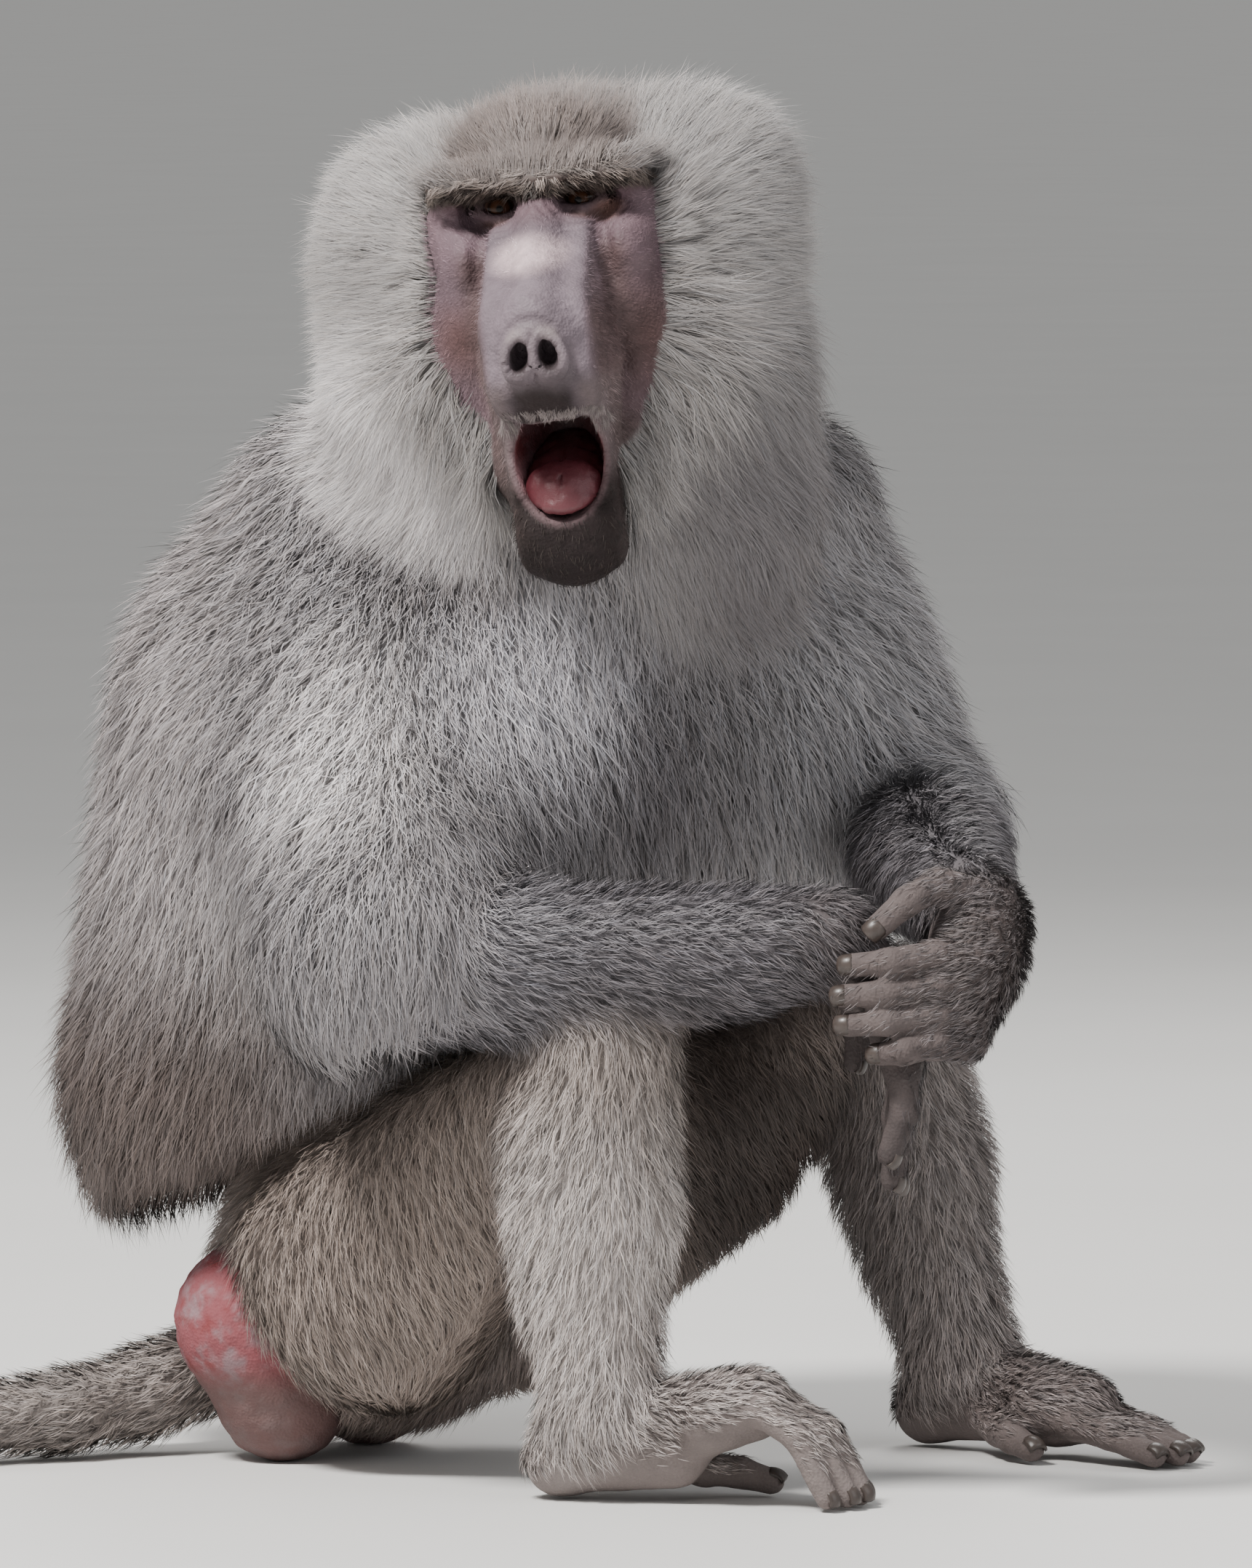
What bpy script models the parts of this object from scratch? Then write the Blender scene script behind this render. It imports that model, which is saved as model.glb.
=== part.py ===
"""Adult male hamadryas baboon, sitting, life size, mouth open, one hand holding the other wrist.

The body is made of soft lumps (tapered limbs and ellipsoids) that melt into each other, out to the tips of the
coat. Each chain of lumps is turned into one closed skin, thinned, and parted with thin cuts into the parts of
the body. Sizes are in millimetres in a working frame: u runs to the side (towards the left knee), d runs the way
the face looks, z is up. At the end everything is turned so that the trunk faces -Y and the animal's left is +X.
"""

import math

import bmesh
import bpy
import numpy as np
from mathutils.bvhtree import BVHTree

# ---------------------------------------------------------------- driving dimensions, mm
GAP = 0.35  # between neighbouring parts
TURN = 58.0  # degrees from the way the face looks to the way the trunk faces
FLOOR = 0.0

HEAD_AT = (-7.4, 190.0, 684.0)  # between the eyes
HEAD_YAW, HEAD_ROLL, HEAD_PITCH = -7.0, 6.7, 0.0  # degrees
EYE_APART, EYE_RADIUS = 42.0, 10.8

HIP_R, KNEE_R, ANKLE_R = (-96.0, 53.0, 112.0), (26.0, 213.0, 236.0), (26.0, 208.0, 46.0)
HIP_L, KNEE_L, ANKLE_L = (-40.0, -53.0, 112.0), (176.0, -50.0, 236.0), (220.0, -48.0, 46.0)
SHOULDER_R, ELBOW_R, WRIST_R = (-74.0, 46.0, 425.0), (-86.0, 200.0, 279.0), (146.0, 250.0, 296.0)
SHOULDER_L, ELBOW_L, WRIST_L = (40.0, -80.0, 425.0), (192.0, 4.0, 338.0), (214.0, 228.0, 312.0)
FOOT_R_HEADING, FOOT_L_HEADING = 72.0, 50.0  # degrees from d towards u
PELVIS, PELVIS_HEADING = (-64.0, 0.0, 108.0), 62.0
CHEST_HEADING = 48.0
BODY_TRIANGLES = 1050


def vec(*p):
    return np.array(p, dtype=np.float64)


def heading(degrees):
    """Forward and left, level, for something that faces this many degrees from d towards u."""
    s, c = math.sin(math.radians(degrees)), math.cos(math.radians(degrees))
    return vec(s, c, 0.0), vec(c, -s, 0.0)


def frame_of(yaw, pitch, roll):
    """Rows: left, forward, up of a head turned by yaw, then pitched, then rolled."""
    y, p, r = (math.radians(v) for v in (yaw, pitch, roll))
    forward = vec(math.sin(y) * math.cos(p), math.cos(y) * math.cos(p), math.sin(p))
    left = vec(math.cos(y), -math.sin(y), 0.0)
    up = np.cross(left, forward)
    left, up = left * math.cos(r) + up * math.sin(r), up * math.cos(r) - left * math.sin(r)
    return np.stack([left, forward, up])


# ---------------------------------------------------------------- lumps
def smooth_min(a, b, k):
    if k <= 0:
        return np.minimum(a, b)
    h = np.maximum(k - np.abs(a - b), 0.0)
    return np.minimum(a, b) - h * h * (0.25 / k)


class Lumps:
    """Tapered limbs and ellipsoids joined softly; value() is about the distance to their surface in mm, negative inside."""

    def __init__(self, at=(0, 0, 0), axes=None):
        self.items, self.at, self.axes = [], vec(*at), np.eye(3) if axes is None else axes

    def _to(self, p):
        return self.at + self.axes.T @ np.asarray(p, float)

    def cone(self, a, b, ra, rb, k=12.0, flat=None, coat=0.0, cut=False):
        """From a to b with radii ra and rb; flat=(direction, share) thins it along a direction."""
        a, b = self._to(a), self._to(b)
        if flat is not None:
            n = self.axes.T @ np.asarray(flat[0], float)
            flat = (n / np.linalg.norm(n), flat[1])
        coat = coat if isinstance(coat, tuple) else (coat, coat)
        self.items.append(("cone", cut, k, coat, a, b - a, ra, rb, flat))
        return self

    def ball(self, c, r, k=12.0, axes=None, coat=0.0, cut=False):
        """Ellipsoid with radii r along its own axes (rows)."""
        c = self._to(c)
        own = (np.eye(3) if axes is None else np.asarray(axes)) @ self.axes if axes is not None else self.axes
        r = (r, r, r) if np.isscalar(r) else r
        self.items.append(("ball", cut, k, coat, c, own, r))
        return self

    def plane(self, c, n, k=3.0):
        """Keeps only what lies behind the plane through c that faces n."""
        n = self.axes.T @ np.asarray(n, float)
        self.items.append(("plane", True, k, 0.0, self._to(c), n / np.linalg.norm(n)))
        return self

    def join(self, other, k=12.0):
        self.items.append(("join", False, k, 0.0, other))
        return self

    def value(self, x, y, z, bare=0.0):
        f = None
        for kind, cut, k, coat, *v in self.items:
            if kind == "cone":
                a, ab, ra, rb, flat = v
                px, py, pz = x - a[0], y - a[1], z - a[2]
                t = np.clip((px * ab[0] + py * ab[1] + pz * ab[2]) / max(ab @ ab, 1e-9), 0.0, 1.0)
                px, py, pz = px - ab[0] * t, py - ab[1] * t, pz - ab[2] * t
                if flat is not None:
                    n, q = flat
                    s = (px * n[0] + py * n[1] + pz * n[2]) * (1.0 / q - 1.0)
                    px, py, pz = px + n[0] * s, py + n[1] * s, pz + n[2] * s
                wa, wb = ra - coat[0] * bare, rb - coat[1] * bare
                d = np.sqrt(px * px + py * py + pz * pz) - (wa + (wb - wa) * t)
            elif kind == "ball":
                c, e, r = v
                r = [max(q - coat * bare, 1.0) for q in r]
                px, py, pz = x - c[0], y - c[1], z - c[2]
                l = [(px * e[i][0] + py * e[i][1] + pz * e[i][2]) / r[i] for i in range(3)]
                k0 = np.sqrt(l[0] ** 2 + l[1] ** 2 + l[2] ** 2)
                k1 = np.sqrt((l[0] / r[0]) ** 2 + (l[1] / r[1]) ** 2 + (l[2] / r[2]) ** 2)
                d = k0 * (k0 - 1.0) / np.maximum(k1, 1e-6)
            elif kind == "plane":
                c, n = v
                d = -((x - c[0]) * n[0] + (y - c[1]) * n[1] + (z - c[2]) * n[2])
            else:
                d = v[0].value(x, y, z, bare)
            if f is None:
                f = d
            elif cut:
                f = -smooth_min(-f, d, k)
            else:
                f = smooth_min(f, d, k)
        return f


# ---------------------------------------------------------------- from lumps to a closed mesh
def net(lumps, lo, hi, step):
    """The surface of the lumps between two corners, as points and triangles: each cell of a lattice is six
    tetrahedra round one diagonal, and the surface crosses each in one or two triangles, so it is always closed."""
    n = [int(math.ceil((hi[i] - lo[i]) / step)) + 1 for i in range(3)]
    axes = [lo[i] + step * np.arange(n[i]) for i in range(3)]
    x, y, z = (a.reshape([-1 if i == j else 1 for j in range(3)]) for i, a in enumerate(axes))
    f = np.asarray(lumps.value(x, y, z) + 0.0 * (x + y + z), dtype=np.float64)
    for edge in (f[[0, -1]], f[:, [0, -1]], f[:, :, [0, -1]]):
        if (edge < 0).any():
            raise ValueError("the lumps reach the lattice's edge")
    corners = [(c & 1, c >> 1 & 1, c >> 2 & 1) for c in range(8)]
    inside = f < 0
    count = sum(inside[i : n[0] - 1 + i, j : n[1] - 1 + j, k : n[2] - 1 + k].astype(np.int8) for i, j, k in corners)
    cell = np.argwhere((count > 0) & (count < 8))
    value = np.stack([f[tuple((cell + np.array(c)).T)] for c in corners], axis=1)
    stride = np.array([n[1] * n[2], n[2], 1])
    base = cell @ stride
    offset = np.array([np.array(c) @ stride for c in corners])
    keys = []
    for order in ((0, 1, 2), (1, 2, 0), (2, 0, 1), (0, 2, 1), (2, 1, 0), (1, 0, 2)):
        path = [0, 1 << order[0], (1 << order[0]) + (1 << order[1]), 7]
        if order in ((0, 2, 1), (2, 1, 0), (1, 0, 2)):
            path[1], path[2] = path[2], path[1]
        low = value[:, path] < 0
        for case in range(1, 15):
            bits = [case >> i & 1 for i in range(4)]
            rows = np.nonzero((low == np.array(bits, bool)).all(1))[0]
            if not len(rows):
                continue
            ins, outs = [i for i in range(4) if bits[i]], [i for i in range(4) if not bits[i]]
            four = ins + outs
            odd = sum(four[i] > four[j] for i in range(4) for j in range(i + 1, 4)) % 2
            if len(ins) == 1:
                (i,), (j, k, l) = ins, outs
                made = [((i, j), (i, k), (i, l))]
            elif len(ins) == 3:
                (i, j, k), (l,) = ins, outs
                made = [((l, i), (l, k), (l, j))]
                odd = 1 - odd
            else:
                (i, j), (k, l) = ins, outs
                made = [((i, k), (i, l), (j, l)), ((i, k), (j, l), (j, k))]
            for triangle in made:
                if odd:
                    triangle = triangle[::-1]
                ids = []
                for p, q in triangle:
                    p, q = sorted((path[p], path[q]))
                    ids.append((base[rows] + offset[p]) * 8 + (q ^ p))
                keys.append(np.stack(ids, axis=1))
    keys = np.concatenate(keys)
    found, index = np.unique(keys, return_inverse=True)
    start, kind = found // 8, found % 8
    a = np.stack([start // stride[0], start % stride[0] // stride[1], start % stride[1]], axis=1)
    step_to = np.array(corners)[kind]
    va, vb = f[tuple(a.T)], f[tuple((a + step_to).T)]
    t = np.clip(va / (va - vb), 0.04, 0.96)
    return np.array(lo) + step * (a + step_to * t[:, None]), index.reshape(-1, 3)


def put(name, points, faces):
    mesh = bpy.data.meshes.new(name)
    mesh.from_pydata((np.asarray(points) * 0.001).tolist(), [], np.asarray(faces).tolist())
    mesh.validate()
    ob = bpy.data.objects.new(name, mesh)
    bpy.context.scene.collection.objects.link(ob)
    return ob


def settle(ob):
    """Replaces an object's mesh by its shape with modifiers."""
    graph = bpy.context.evaluated_depsgraph_get()
    mesh = bpy.data.meshes.new_from_object(ob.evaluated_get(graph), depsgraph=graph)
    ob.modifiers.clear()
    old, ob.data = ob.data, mesh
    bpy.data.meshes.remove(old)
    return ob


def volume(ob):
    """Volume in cubic metres, and whether every edge has two faces."""
    bm = bmesh.new()
    bm.from_mesh(ob.data)
    v, closed = bm.calc_volume(signed=True), all(len(e.link_faces) == 2 for e in bm.edges) and len(bm.faces) > 3
    bm.free()
    return v, closed


def thin(ob, triangles):
    """Fewer triangles, most where the shape bends; a count that would leave a pinched edge is passed over."""
    now = sum(len(p.vertices) - 2 for p in ob.data.polygons)
    full = ob.data.copy()
    for attempt in range(8):
        m = ob.modifiers.new("thin", "DECIMATE")
        m.ratio = min(1.0, (triangles - 8 * attempt) / now)
        m.use_collapse_triangulate = True
        settle(ob)
        if volume(ob)[1] and not pinched(ob):
            break
        ob.data = full.copy()
    bpy.data.meshes.remove(full)
    return ob


def lighten(ob, within=0.13):
    """Drops the triangles that the shape can spare: nothing moves off the surface by more than this many mm."""
    full = ob.data.copy()
    tree = BVHTree.FromPolygons([v.co for v in full.vertices], [tuple(p.vertices) for p in full.polygons])
    low, high, best = 0.4, 1.0, None
    for attempt in range(6):
        m = ob.modifiers.new("thin", "DECIMATE")
        m.ratio = (low + high) / 2
        m.use_collapse_triangulate = True
        settle(ob)
        good = volume(ob)[1] and not pinched(ob)
        if good:
            mesh = ob.data
            points = [v.co for v in mesh.vertices] + [p.center for p in mesh.polygons]
            points += [(mesh.vertices[e.vertices[0]].co + mesh.vertices[e.vertices[1]].co) / 2 for e in mesh.edges]
            good = max(tree.find_nearest(p)[3] for p in points) < within * 0.001
        if good:
            other = BVHTree.FromPolygons([v.co for v in mesh.vertices], [tuple(p.vertices) for p in mesh.polygons])
            good = max(other.find_nearest(v.co)[3] for v in full.vertices) < within * 0.001
        if good:
            best, high = ob.data, (low + high) / 2
        else:
            low = (low + high) / 2
        ob.data = full.copy()
    if best is not None:
        ob.data = best
    return ob


def pinched(ob):
    bm = bmesh.new()
    bm.from_mesh(ob.data)
    found = any(not v.is_manifold for v in bm.verts)
    bm.free()
    return found


def boolean(ob, other, operation):
    """Cuts ob with other. A cut whose result can't be right is done again by the second solver."""
    before, size = volume(ob)[0], volume(other)[0]
    least = {"DIFFERENCE": before - size, "UNION": max(before, size), "INTERSECT": 0.0}[operation]
    kept = ob.data.copy()
    for solver, nudge in (("EXACT", 0.0), ("MANIFOLD", 0.0), ("EXACT", 2e-5), ("MANIFOLD", 2e-5), ("EXACT", -3e-5)):
        other.location = (nudge, -nudge * 0.7, nudge * 0.4)
        m = ob.modifiers.new("cut", "BOOLEAN")
        m.object, m.operation, m.solver = other, operation, solver
        settle(ob)
        tidy(ob)
        after, closed = volume(ob)
        if closed and after > 0 and least - 1e-6 <= after <= max(before, size) + 1e-6:
            break
        ob.data = kept.copy()
    bpy.data.meshes.remove(kept)
    return ob


def tidy(ob):
    """Drops crumbs that a cut left, keeping the largest body, and triangulates."""
    bm = bmesh.new()
    bm.from_mesh(ob.data)
    bmesh.ops.triangulate(bm, faces=bm.faces)
    left, groups = set(bm.faces), []
    while left:
        stack, group = [left.pop()], []
        while stack:
            f = stack.pop()
            group.append(f)
            for e in f.edges:
                for g in e.link_faces:
                    if g in left:
                        left.discard(g)
                        stack.append(g)
        groups.append(group)
    groups.sort(key=lambda g: -sum(f.calc_area() for f in g))
    if len(groups) > 1:
        bmesh.ops.delete(bm, geom=[f for g in groups[1:] for f in g], context="FACES")
        bmesh.ops.delete(bm, geom=[v for v in bm.verts if not v.link_faces], context="VERTS")
    bm.to_mesh(ob.data)
    bm.free()


def swollen(ob, by):
    """A copy pushed out by this many mm, for cutting a neighbour."""
    copy = bpy.data.objects.new("cutter", ob.data.copy())
    bpy.context.scene.collection.objects.link(copy)
    mesh = copy.data
    co, no = np.empty(len(mesh.vertices) * 3), np.empty(len(mesh.vertices) * 3)
    mesh.vertices.foreach_get("co", co)
    mesh.vertices.foreach_get("normal", no)
    mesh.vertices.foreach_set("co", co + no * by * 0.001)
    mesh.update()
    return copy


def remove(ob):
    bpy.data.objects.remove(ob)


def clear_of(ob, others, by=GAP):
    """Cuts away from ob what the others, swollen by the gap, take up."""
    box = bounds(ob)
    for other in others:
        b = bounds(other)
        if (b[0] > box[1] + 1e-3).any() or (b[1] < box[0] - 1e-3).any():
            continue
        cutter = swollen(other, by * 1.35)
        boolean(ob, cutter, "DIFFERENCE")
        remove(cutter)
    return ob


def bounds(ob):
    co = np.empty(len(ob.data.vertices) * 3)
    ob.data.vertices.foreach_get("co", co)
    co = co.reshape(-1, 3)
    return co.min(0), co.max(0)


def slab(c, n, big=900.0, side=None):
    """A block whose top face is the plane through c facing n, reaching down behind it."""
    n = vec(*n) / np.linalg.norm(n)
    a = np.cross(n, (0.31, 0.17, 0.93))
    a /= np.linalg.norm(a)
    b = np.cross(n, a)
    c = vec(*c)
    wide = big if side is None else side
    p = [c + sa * a * wide + sb * b * wide + sn * n for sn in (-big, 0) for sa, sb in ((-1, -1), (1, -1), (1, 1), (-1, 1))]
    faces = [(0, 3, 2, 1), (4, 5, 6, 7), (0, 1, 5, 4), (1, 2, 6, 5), (2, 3, 7, 6), (3, 0, 4, 7)]
    ob = put("slab", p, faces)
    bm = bmesh.new()
    bm.from_mesh(ob.data)
    bmesh.ops.recalc_face_normals(bm, faces=bm.faces)
    bm.to_mesh(ob.data)
    bm.free()
    return ob


def ahead_of(ob, name, *planes):
    """A copy of ob that keeps only what lies ahead of each plane, given as (point, facing)."""
    other = bpy.data.objects.new(name, ob.data.copy())
    bpy.context.scene.collection.objects.link(other)
    for c, n in planes:
        n = vec(*n) / np.linalg.norm(n)
        block = slab(vec(*c) + n * GAP / 2, n)
        boolean(other, block, "DIFFERENCE")
        remove(block)
    return other


def part_off(ob, name, *planes):
    """Takes from ob what lies ahead of all the planes, with a thin cut between: the piece is returned, ob keeps the rest."""
    piece = ahead_of(ob, name, *planes)
    wedge = None
    for c, n in planes:
        n = vec(*n) / np.linalg.norm(n)
        block = slab(vec(*c) - n * GAP / 2, -n)
        if wedge is None:
            wedge = block
        else:
            boolean(wedge, block, "INTERSECT")
            remove(block)
    boolean(ob, wedge, "DIFFERENCE")
    remove(wedge)
    return piece


def flatten(ob):
    """Stands it on the floor: a small flat where it would reach below."""
    if bounds(ob)[0][2] < FLOOR * 0.001 - 1e-7:
        block = slab((0, 0, FLOOR), (0, 0, 1))
        boolean(ob, block, "DIFFERENCE")
        remove(block)
    return ob


def build(name, lumps, lo, hi, step, triangles):
    return thin(put(name, *net(lumps, lo, hi, step)), triangles)


# ---------------------------------------------------------------- the animal, lump by lump
def digit(l, root, knuckle, middle, tip, r, k=3.0, bare=0.0):
    """One finger or toe: three short bones and a pad at the end."""
    l.cone(root, knuckle, r * 1.25, r * 1.12, k=6, coat=bare)
    l.cone(knuckle, middle, r * 1.1, r, k=k, coat=bare)
    l.cone(middle, tip, r, r * 0.88, k=k, coat=bare)


def along(a, b, t):
    return vec(*a) + (vec(*b) - vec(*a)) * t


HEAD_AXES = frame_of(HEAD_YAW, HEAD_PITCH, HEAD_ROLL)


def in_head(*p):
    return vec(*HEAD_AT) + HEAD_AXES.T @ vec(*p)


def mouth_room(l):
    """The open mouth, from between the lips back to the throat."""
    tilt = math.radians(-20)
    axes = np.array([[1, 0, 0], [0, math.cos(tilt), math.sin(tilt)], [0, -math.sin(tilt), math.cos(tilt)]])
    l.ball((0, 42, -142), (23, 58, 27.5), k=4, axes=axes, cut=True)
    return l


def head_lumps():
    """Skull, face and jaw, and the short hair of the crown."""
    l = Lumps(HEAD_AT, HEAD_AXES)
    l.ball((0, -74, 2), (60, 76, 51), coat=14)
    l.ball((0, -40, 18), (50, 46, 32), k=16, coat=13)
    l.cone((-44, 3, 6), (44, 3, 6), 11.5, 11.5, k=8, flat=((0, 0, 1), 0.8), coat=2)
    for s in (-1, 1):
        l.cone((s * 42, 2, 6), (s * 55, -18, -10), 10.5, 9, k=8, coat=2)
        l.cone((s * 48, -12, -22), (s * 40, 4, -34), 13, 12, k=10)
        l.ball((s * 38, -26, -58), (25, 38, 44), k=14)
        l.ball((s * 47, -30, -84), (27, 30, 36), k=14)
        l.cone((s * 17, -4, -18), (s * 20, 66, -68), 10, 13, k=7)
        l.ball((s * EYE_APART / 2, 2, -4), (15.5, 11, 9), k=5, cut=True)
    l.cone((0, 0, -6), (0, 78, -66), 10, 17, k=10)
    l.cone((0, -24, -54), (0, 54, -86), 37, 35, k=12)
    l.ball((0, 80, -78), (19, 14, 16), k=8)
    l.ball((0, 58, -97), (34, 25, 21), k=10)
    for s in (-1, 1):
        l.cone((s * 24, 28, -92), (s * 20, 24, -150), 15, 13, k=10)
        l.cone((s * 26, -20, -88), (s * 20, -8, -142), 24, 22, k=14)
        l.cone((s * 20, 2, -140), (s * 14, 24, -178), 18, 16, k=12)
    l.ball((0, 19, -184), (27, 21, 23.5), k=12)
    l.cone((-12, 30, -172), (12, 30, -172), 12, 12, k=8)
    for s in (-1, 1):
        l.cone((s * 8, 98, -83), (s * 7.5, 84, -79), 5.8, 5.0, k=2.5, flat=((1, 0, 0), 0.78), cut=True)
    return mouth_room(l)


def mane_lumps():
    """The ruff: long pale hair that stands out from the cheeks, up to the crown's corners and back over the neck."""
    l = Lumps(HEAD_AT, HEAD_AXES)
    l.ball((-70, -82, -38), (70, 74, 82), k=20, coat=38)
    l.ball((66, -82, -34), (68, 74, 84), k=20, coat=38)
    l.ball((-76, -92, -8), (42, 56, 43), k=18, coat=30)
    l.ball((84, -92, -4), (44, 58, 42), k=18, coat=28)
    l.ball((-72, -62, -96), (66, 58, 60), k=24, coat=34)
    l.ball((62, -76, -100), (64, 58, 62), k=24, coat=34)
    for s in (-1, 1):
        l.cone((s * 60, -82, -120), (s * 52, -96, -170), 62, 70, k=30, coat=30)
    l.ball((6, -92, -2), (100, 68, 46), k=16, coat=26)
    l.ball((0, -104, -16), (92, 78, 68), k=24, coat=34)
    l.ball((0, -112, -98), (104, 72, 84), k=30, coat=34)
    return l


def cape_lumps():
    """The mantle of long hair over shoulders, back and upper arms, cut along its hem."""
    l = Lumps()
    l.cone((-60, 22, 394), (58, -40, 398), 160, 158, coat=34)
    l.cone((-76, 0, 372), (-136, -32, 205), 174, 136, k=30, coat=(36, 30))
    l.cone(SHOULDER_R, along(SHOULDER_R, ELBOW_R, 0.95), 112, 76, k=40, coat=(34, 22))
    l.cone(SHOULDER_L, along(SHOULDER_L, ELBOW_L, 1.0), 108, 54, k=40, coat=(34, 14))
    l.cone((0, 20, 470), in_head(0, -95, -110), 118, 92, k=40, coat=30)
    l.ball((-106, 44, 512), (68, 72, 62), k=30, coat=30)
    l.ball((106, -4, 514), (72, 72, 62), k=30, coat=30)
    l.plane(HEM_AT, HEM_FACES, k=4)
    return l


# The hem hangs lowest behind and rises forward along the flanks.
HEM_AT, HEM_FACES = (-213.0, -70.0, 138.0), (0.42 * 0.85, 0.42 * 0.52, -1.0)


def body_lumps():
    f, left = heading(PELVIS_HEADING)
    axes = np.stack([left, f, vec(0, 0, 1)])
    c = vec(*PELVIS)
    l = Lumps()
    l.ball(c - 30 * f + vec(0, 0, -4), (96, 96, 96), axes=axes, coat=10)
    l.ball((-46, 6, 205), (104, 108, 118), k=40, axes=axes, coat=14)
    l.ball((-14, 8, 340), (128, 118, 150), k=40, axes=axes, coat=20)
    l.ball(c - 74 * f + vec(0, 0, -34), (84, 52, 66), k=20, axes=axes, coat=8)
    for hip, knee in ((HIP_R, KNEE_R), (HIP_L, KNEE_L)):
        l.cone(hip, knee, 78, 40, k=22, coat=(10, 8))
        l.cone(along(hip, knee, 0.1) + vec(0, 0, -28), along(hip, knee, 0.62) + vec(0, 0, -40), 66, 38, k=22, coat=(10, 9))
    l.join(cape_lumps(), k=7)
    l.join(mane_lumps(), k=34)
    return l


def shin_lumps(knee, ankle, side):
    l = Lumps()
    f, left = heading({-1: FOOT_R_HEADING, 1: FOOT_L_HEADING}[side])
    l.cone(knee, along(knee, ankle, 0.45), 44, 45, coat=9)
    l.cone(along(knee, ankle, 0.4) - 4 * f, ankle, 45, 35, k=14, coat=(10, 8))
    l.cone(along(knee, ankle, 0.22) - 18 * f, along(knee, ankle, 0.7) - 16 * f, 44, 33, k=16, coat=(11, 10))
    l.cone(ankle, vec(*ankle) - 16 * f + vec(0, 0, -20), 33, 24, k=12, coat=5)
    return l


def foot_lumps(ankle, side):
    """Long narrow foot: heel, arched middle, four toes and the big toe set apart. side is -1 right, 1 left."""
    f, left = heading({-1: FOOT_R_HEADING, 1: FOOT_L_HEADING}[side])
    inner = left if side < 0 else -left
    a = vec(ankle[0], ankle[1], 0.0)
    up = vec(0, 0, 1)

    def at(forward, inward, z):
        return a + f * forward + inner * inward + up * z

    bent = side < 0
    high = 52 if bent else 27
    l = Lumps()
    l.cone(at(0, 0, 44), at(-24, 0, 20), 27, 20, coat=4)
    l.cone(at(-20, 0, 19), at(40, 0, 24), 20, 21, k=12, coat=4)
    l.cone(at(8, 0, 36), at(82, 0, high), 27, 23, k=14, coat=(6, 4))
    l.cone(at(64, -13, high - 8), at(64, 15, high - 3), 18, 19, k=12, coat=4)
    reach = 64 if bent else 62
    for i, out in enumerate((15, 4.5, -6, -16)):
        long = reach - (4, 0, 3, 10)[i]
        r = (9.2, 9.4, 9.0, 8.4)[i]
        root = at(72, out * 0.95, high - 4)
        k1 = at(92, out * 1.15, high - 1 if bent else 20)
        k2 = at(80 + long * 0.62, out * 1.25, high * 0.72 if bent else 16)
        tip = at(80 + long * (0.92 if bent else 1.15), out * 1.3, r * 0.8)
        digit(l, root, k1, k2, tip, r, bare=1.5)
    digit(l, at(30, 16, 20), at(48, 27, 15), at(64, 37, 12.5), at(80, 41, 8), 9.6, bare=1.5)
    return l


def forearm_lumps(elbow, wrist, side):
    l = Lumps()
    if side < 0:
        l.cone(elbow, along(elbow, wrist, 0.3), 41, 43, coat=9)
        l.cone(along(elbow, wrist, 0.3), wrist, 42, 30, k=14, coat=(9, 6))
        l.cone(along(elbow, wrist, 0.05) + vec(0, 0, -8), along(elbow, wrist, 0.8) + vec(0, 0, -8), 38, 34, k=14, coat=9)
        l.cone(along(elbow, wrist, 0.0) + vec(-10, 0, -4), elbow, 34, 38, k=12, coat=9)
    else:
        l.cone(elbow, along(elbow, wrist, 0.4), 51, 43, coat=(12, 9))
        l.cone(along(elbow, wrist, 0.4), wrist, 43, 31, k=14, coat=(9, 6))
    return l


def hand_right_lumps():
    """Hangs from the wrist, fingers straight down, its back to the right."""
    l = Lumps()
    w = WRIST_R
    l.cone(w, (172, 250, 268), 27, 23, coat=5)
    l.cone((168, 236, 270), (181, 236, 234), 15, 13, k=10, coat=4)
    l.cone((168, 264, 268), (181, 264, 234), 16, 14, k=10, coat=4)
    for i, (d, z1, z2, z3, bow) in enumerate(((229, 238, 205, 178, 2), (243, 240, 204, 169, 3), (257, 238, 206, 172, 1), (270, 232, 208, 186, -1))):
        digit(l, (177, d * 0.7 + 250 * 0.3, 252), (183 + bow, d, z1 - 6), (182 - bow, d, z2), (176 + bow, d, z3), 9.0, bare=1.5)
    digit(l, (156, 226, 280), (158, 218, 262), (160, 215, 246), (158, 214, 230), 8.6, bare=1.5)
    return l


def hand_left_lumps():
    """Bends down at the wrist and closes on the other wrist."""
    l = Lumps()
    l.cone((222, 238, 304), (212, 262, 282), 31, 25, coat=6)
    l.cone((222, 252, 290), (210, 264, 256), 26, 19, k=12, coat=6)
    l.cone((222, 240, 276), (211, 256, 250), 25, 19, k=12, coat=6)
    for i, (z, far) in enumerate(((293, 155), (277, 151), (262, 153), (247, 170))):
        digit(l, (217, 266, z - 4), (198, 280, z - 3), ((198 + far) / 2 - 2, 287, z - 6), (far, 281, z - 8), 8.3, bare=1.2)
    digit(l, (222, 250, 318), (201, 264, 326), (184, 276, 318), (168, 280, 304), 8.8, bare=1.2)
    return l


TAIL = ((-178, -44, 48), (-222, -22, 32), (-262, 6, 25), (-318, 34, 23), (-382, 34, 22), (-436, 2, 21), (-468, -52, 21), (-478, -112, 21), (-470, -170, 22))
TAIL_RADIUS = (30, 27, 25, 23, 21.5, 20, 19.5, 21, 15)


def tail_lumps():
    l = Lumps()
    for i in range(len(TAIL) - 1):
        l.cone(TAIL[i], TAIL[i + 1], TAIL_RADIUS[i], TAIL_RADIUS[i + 1], k=10, coat=7)
    return l


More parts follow.
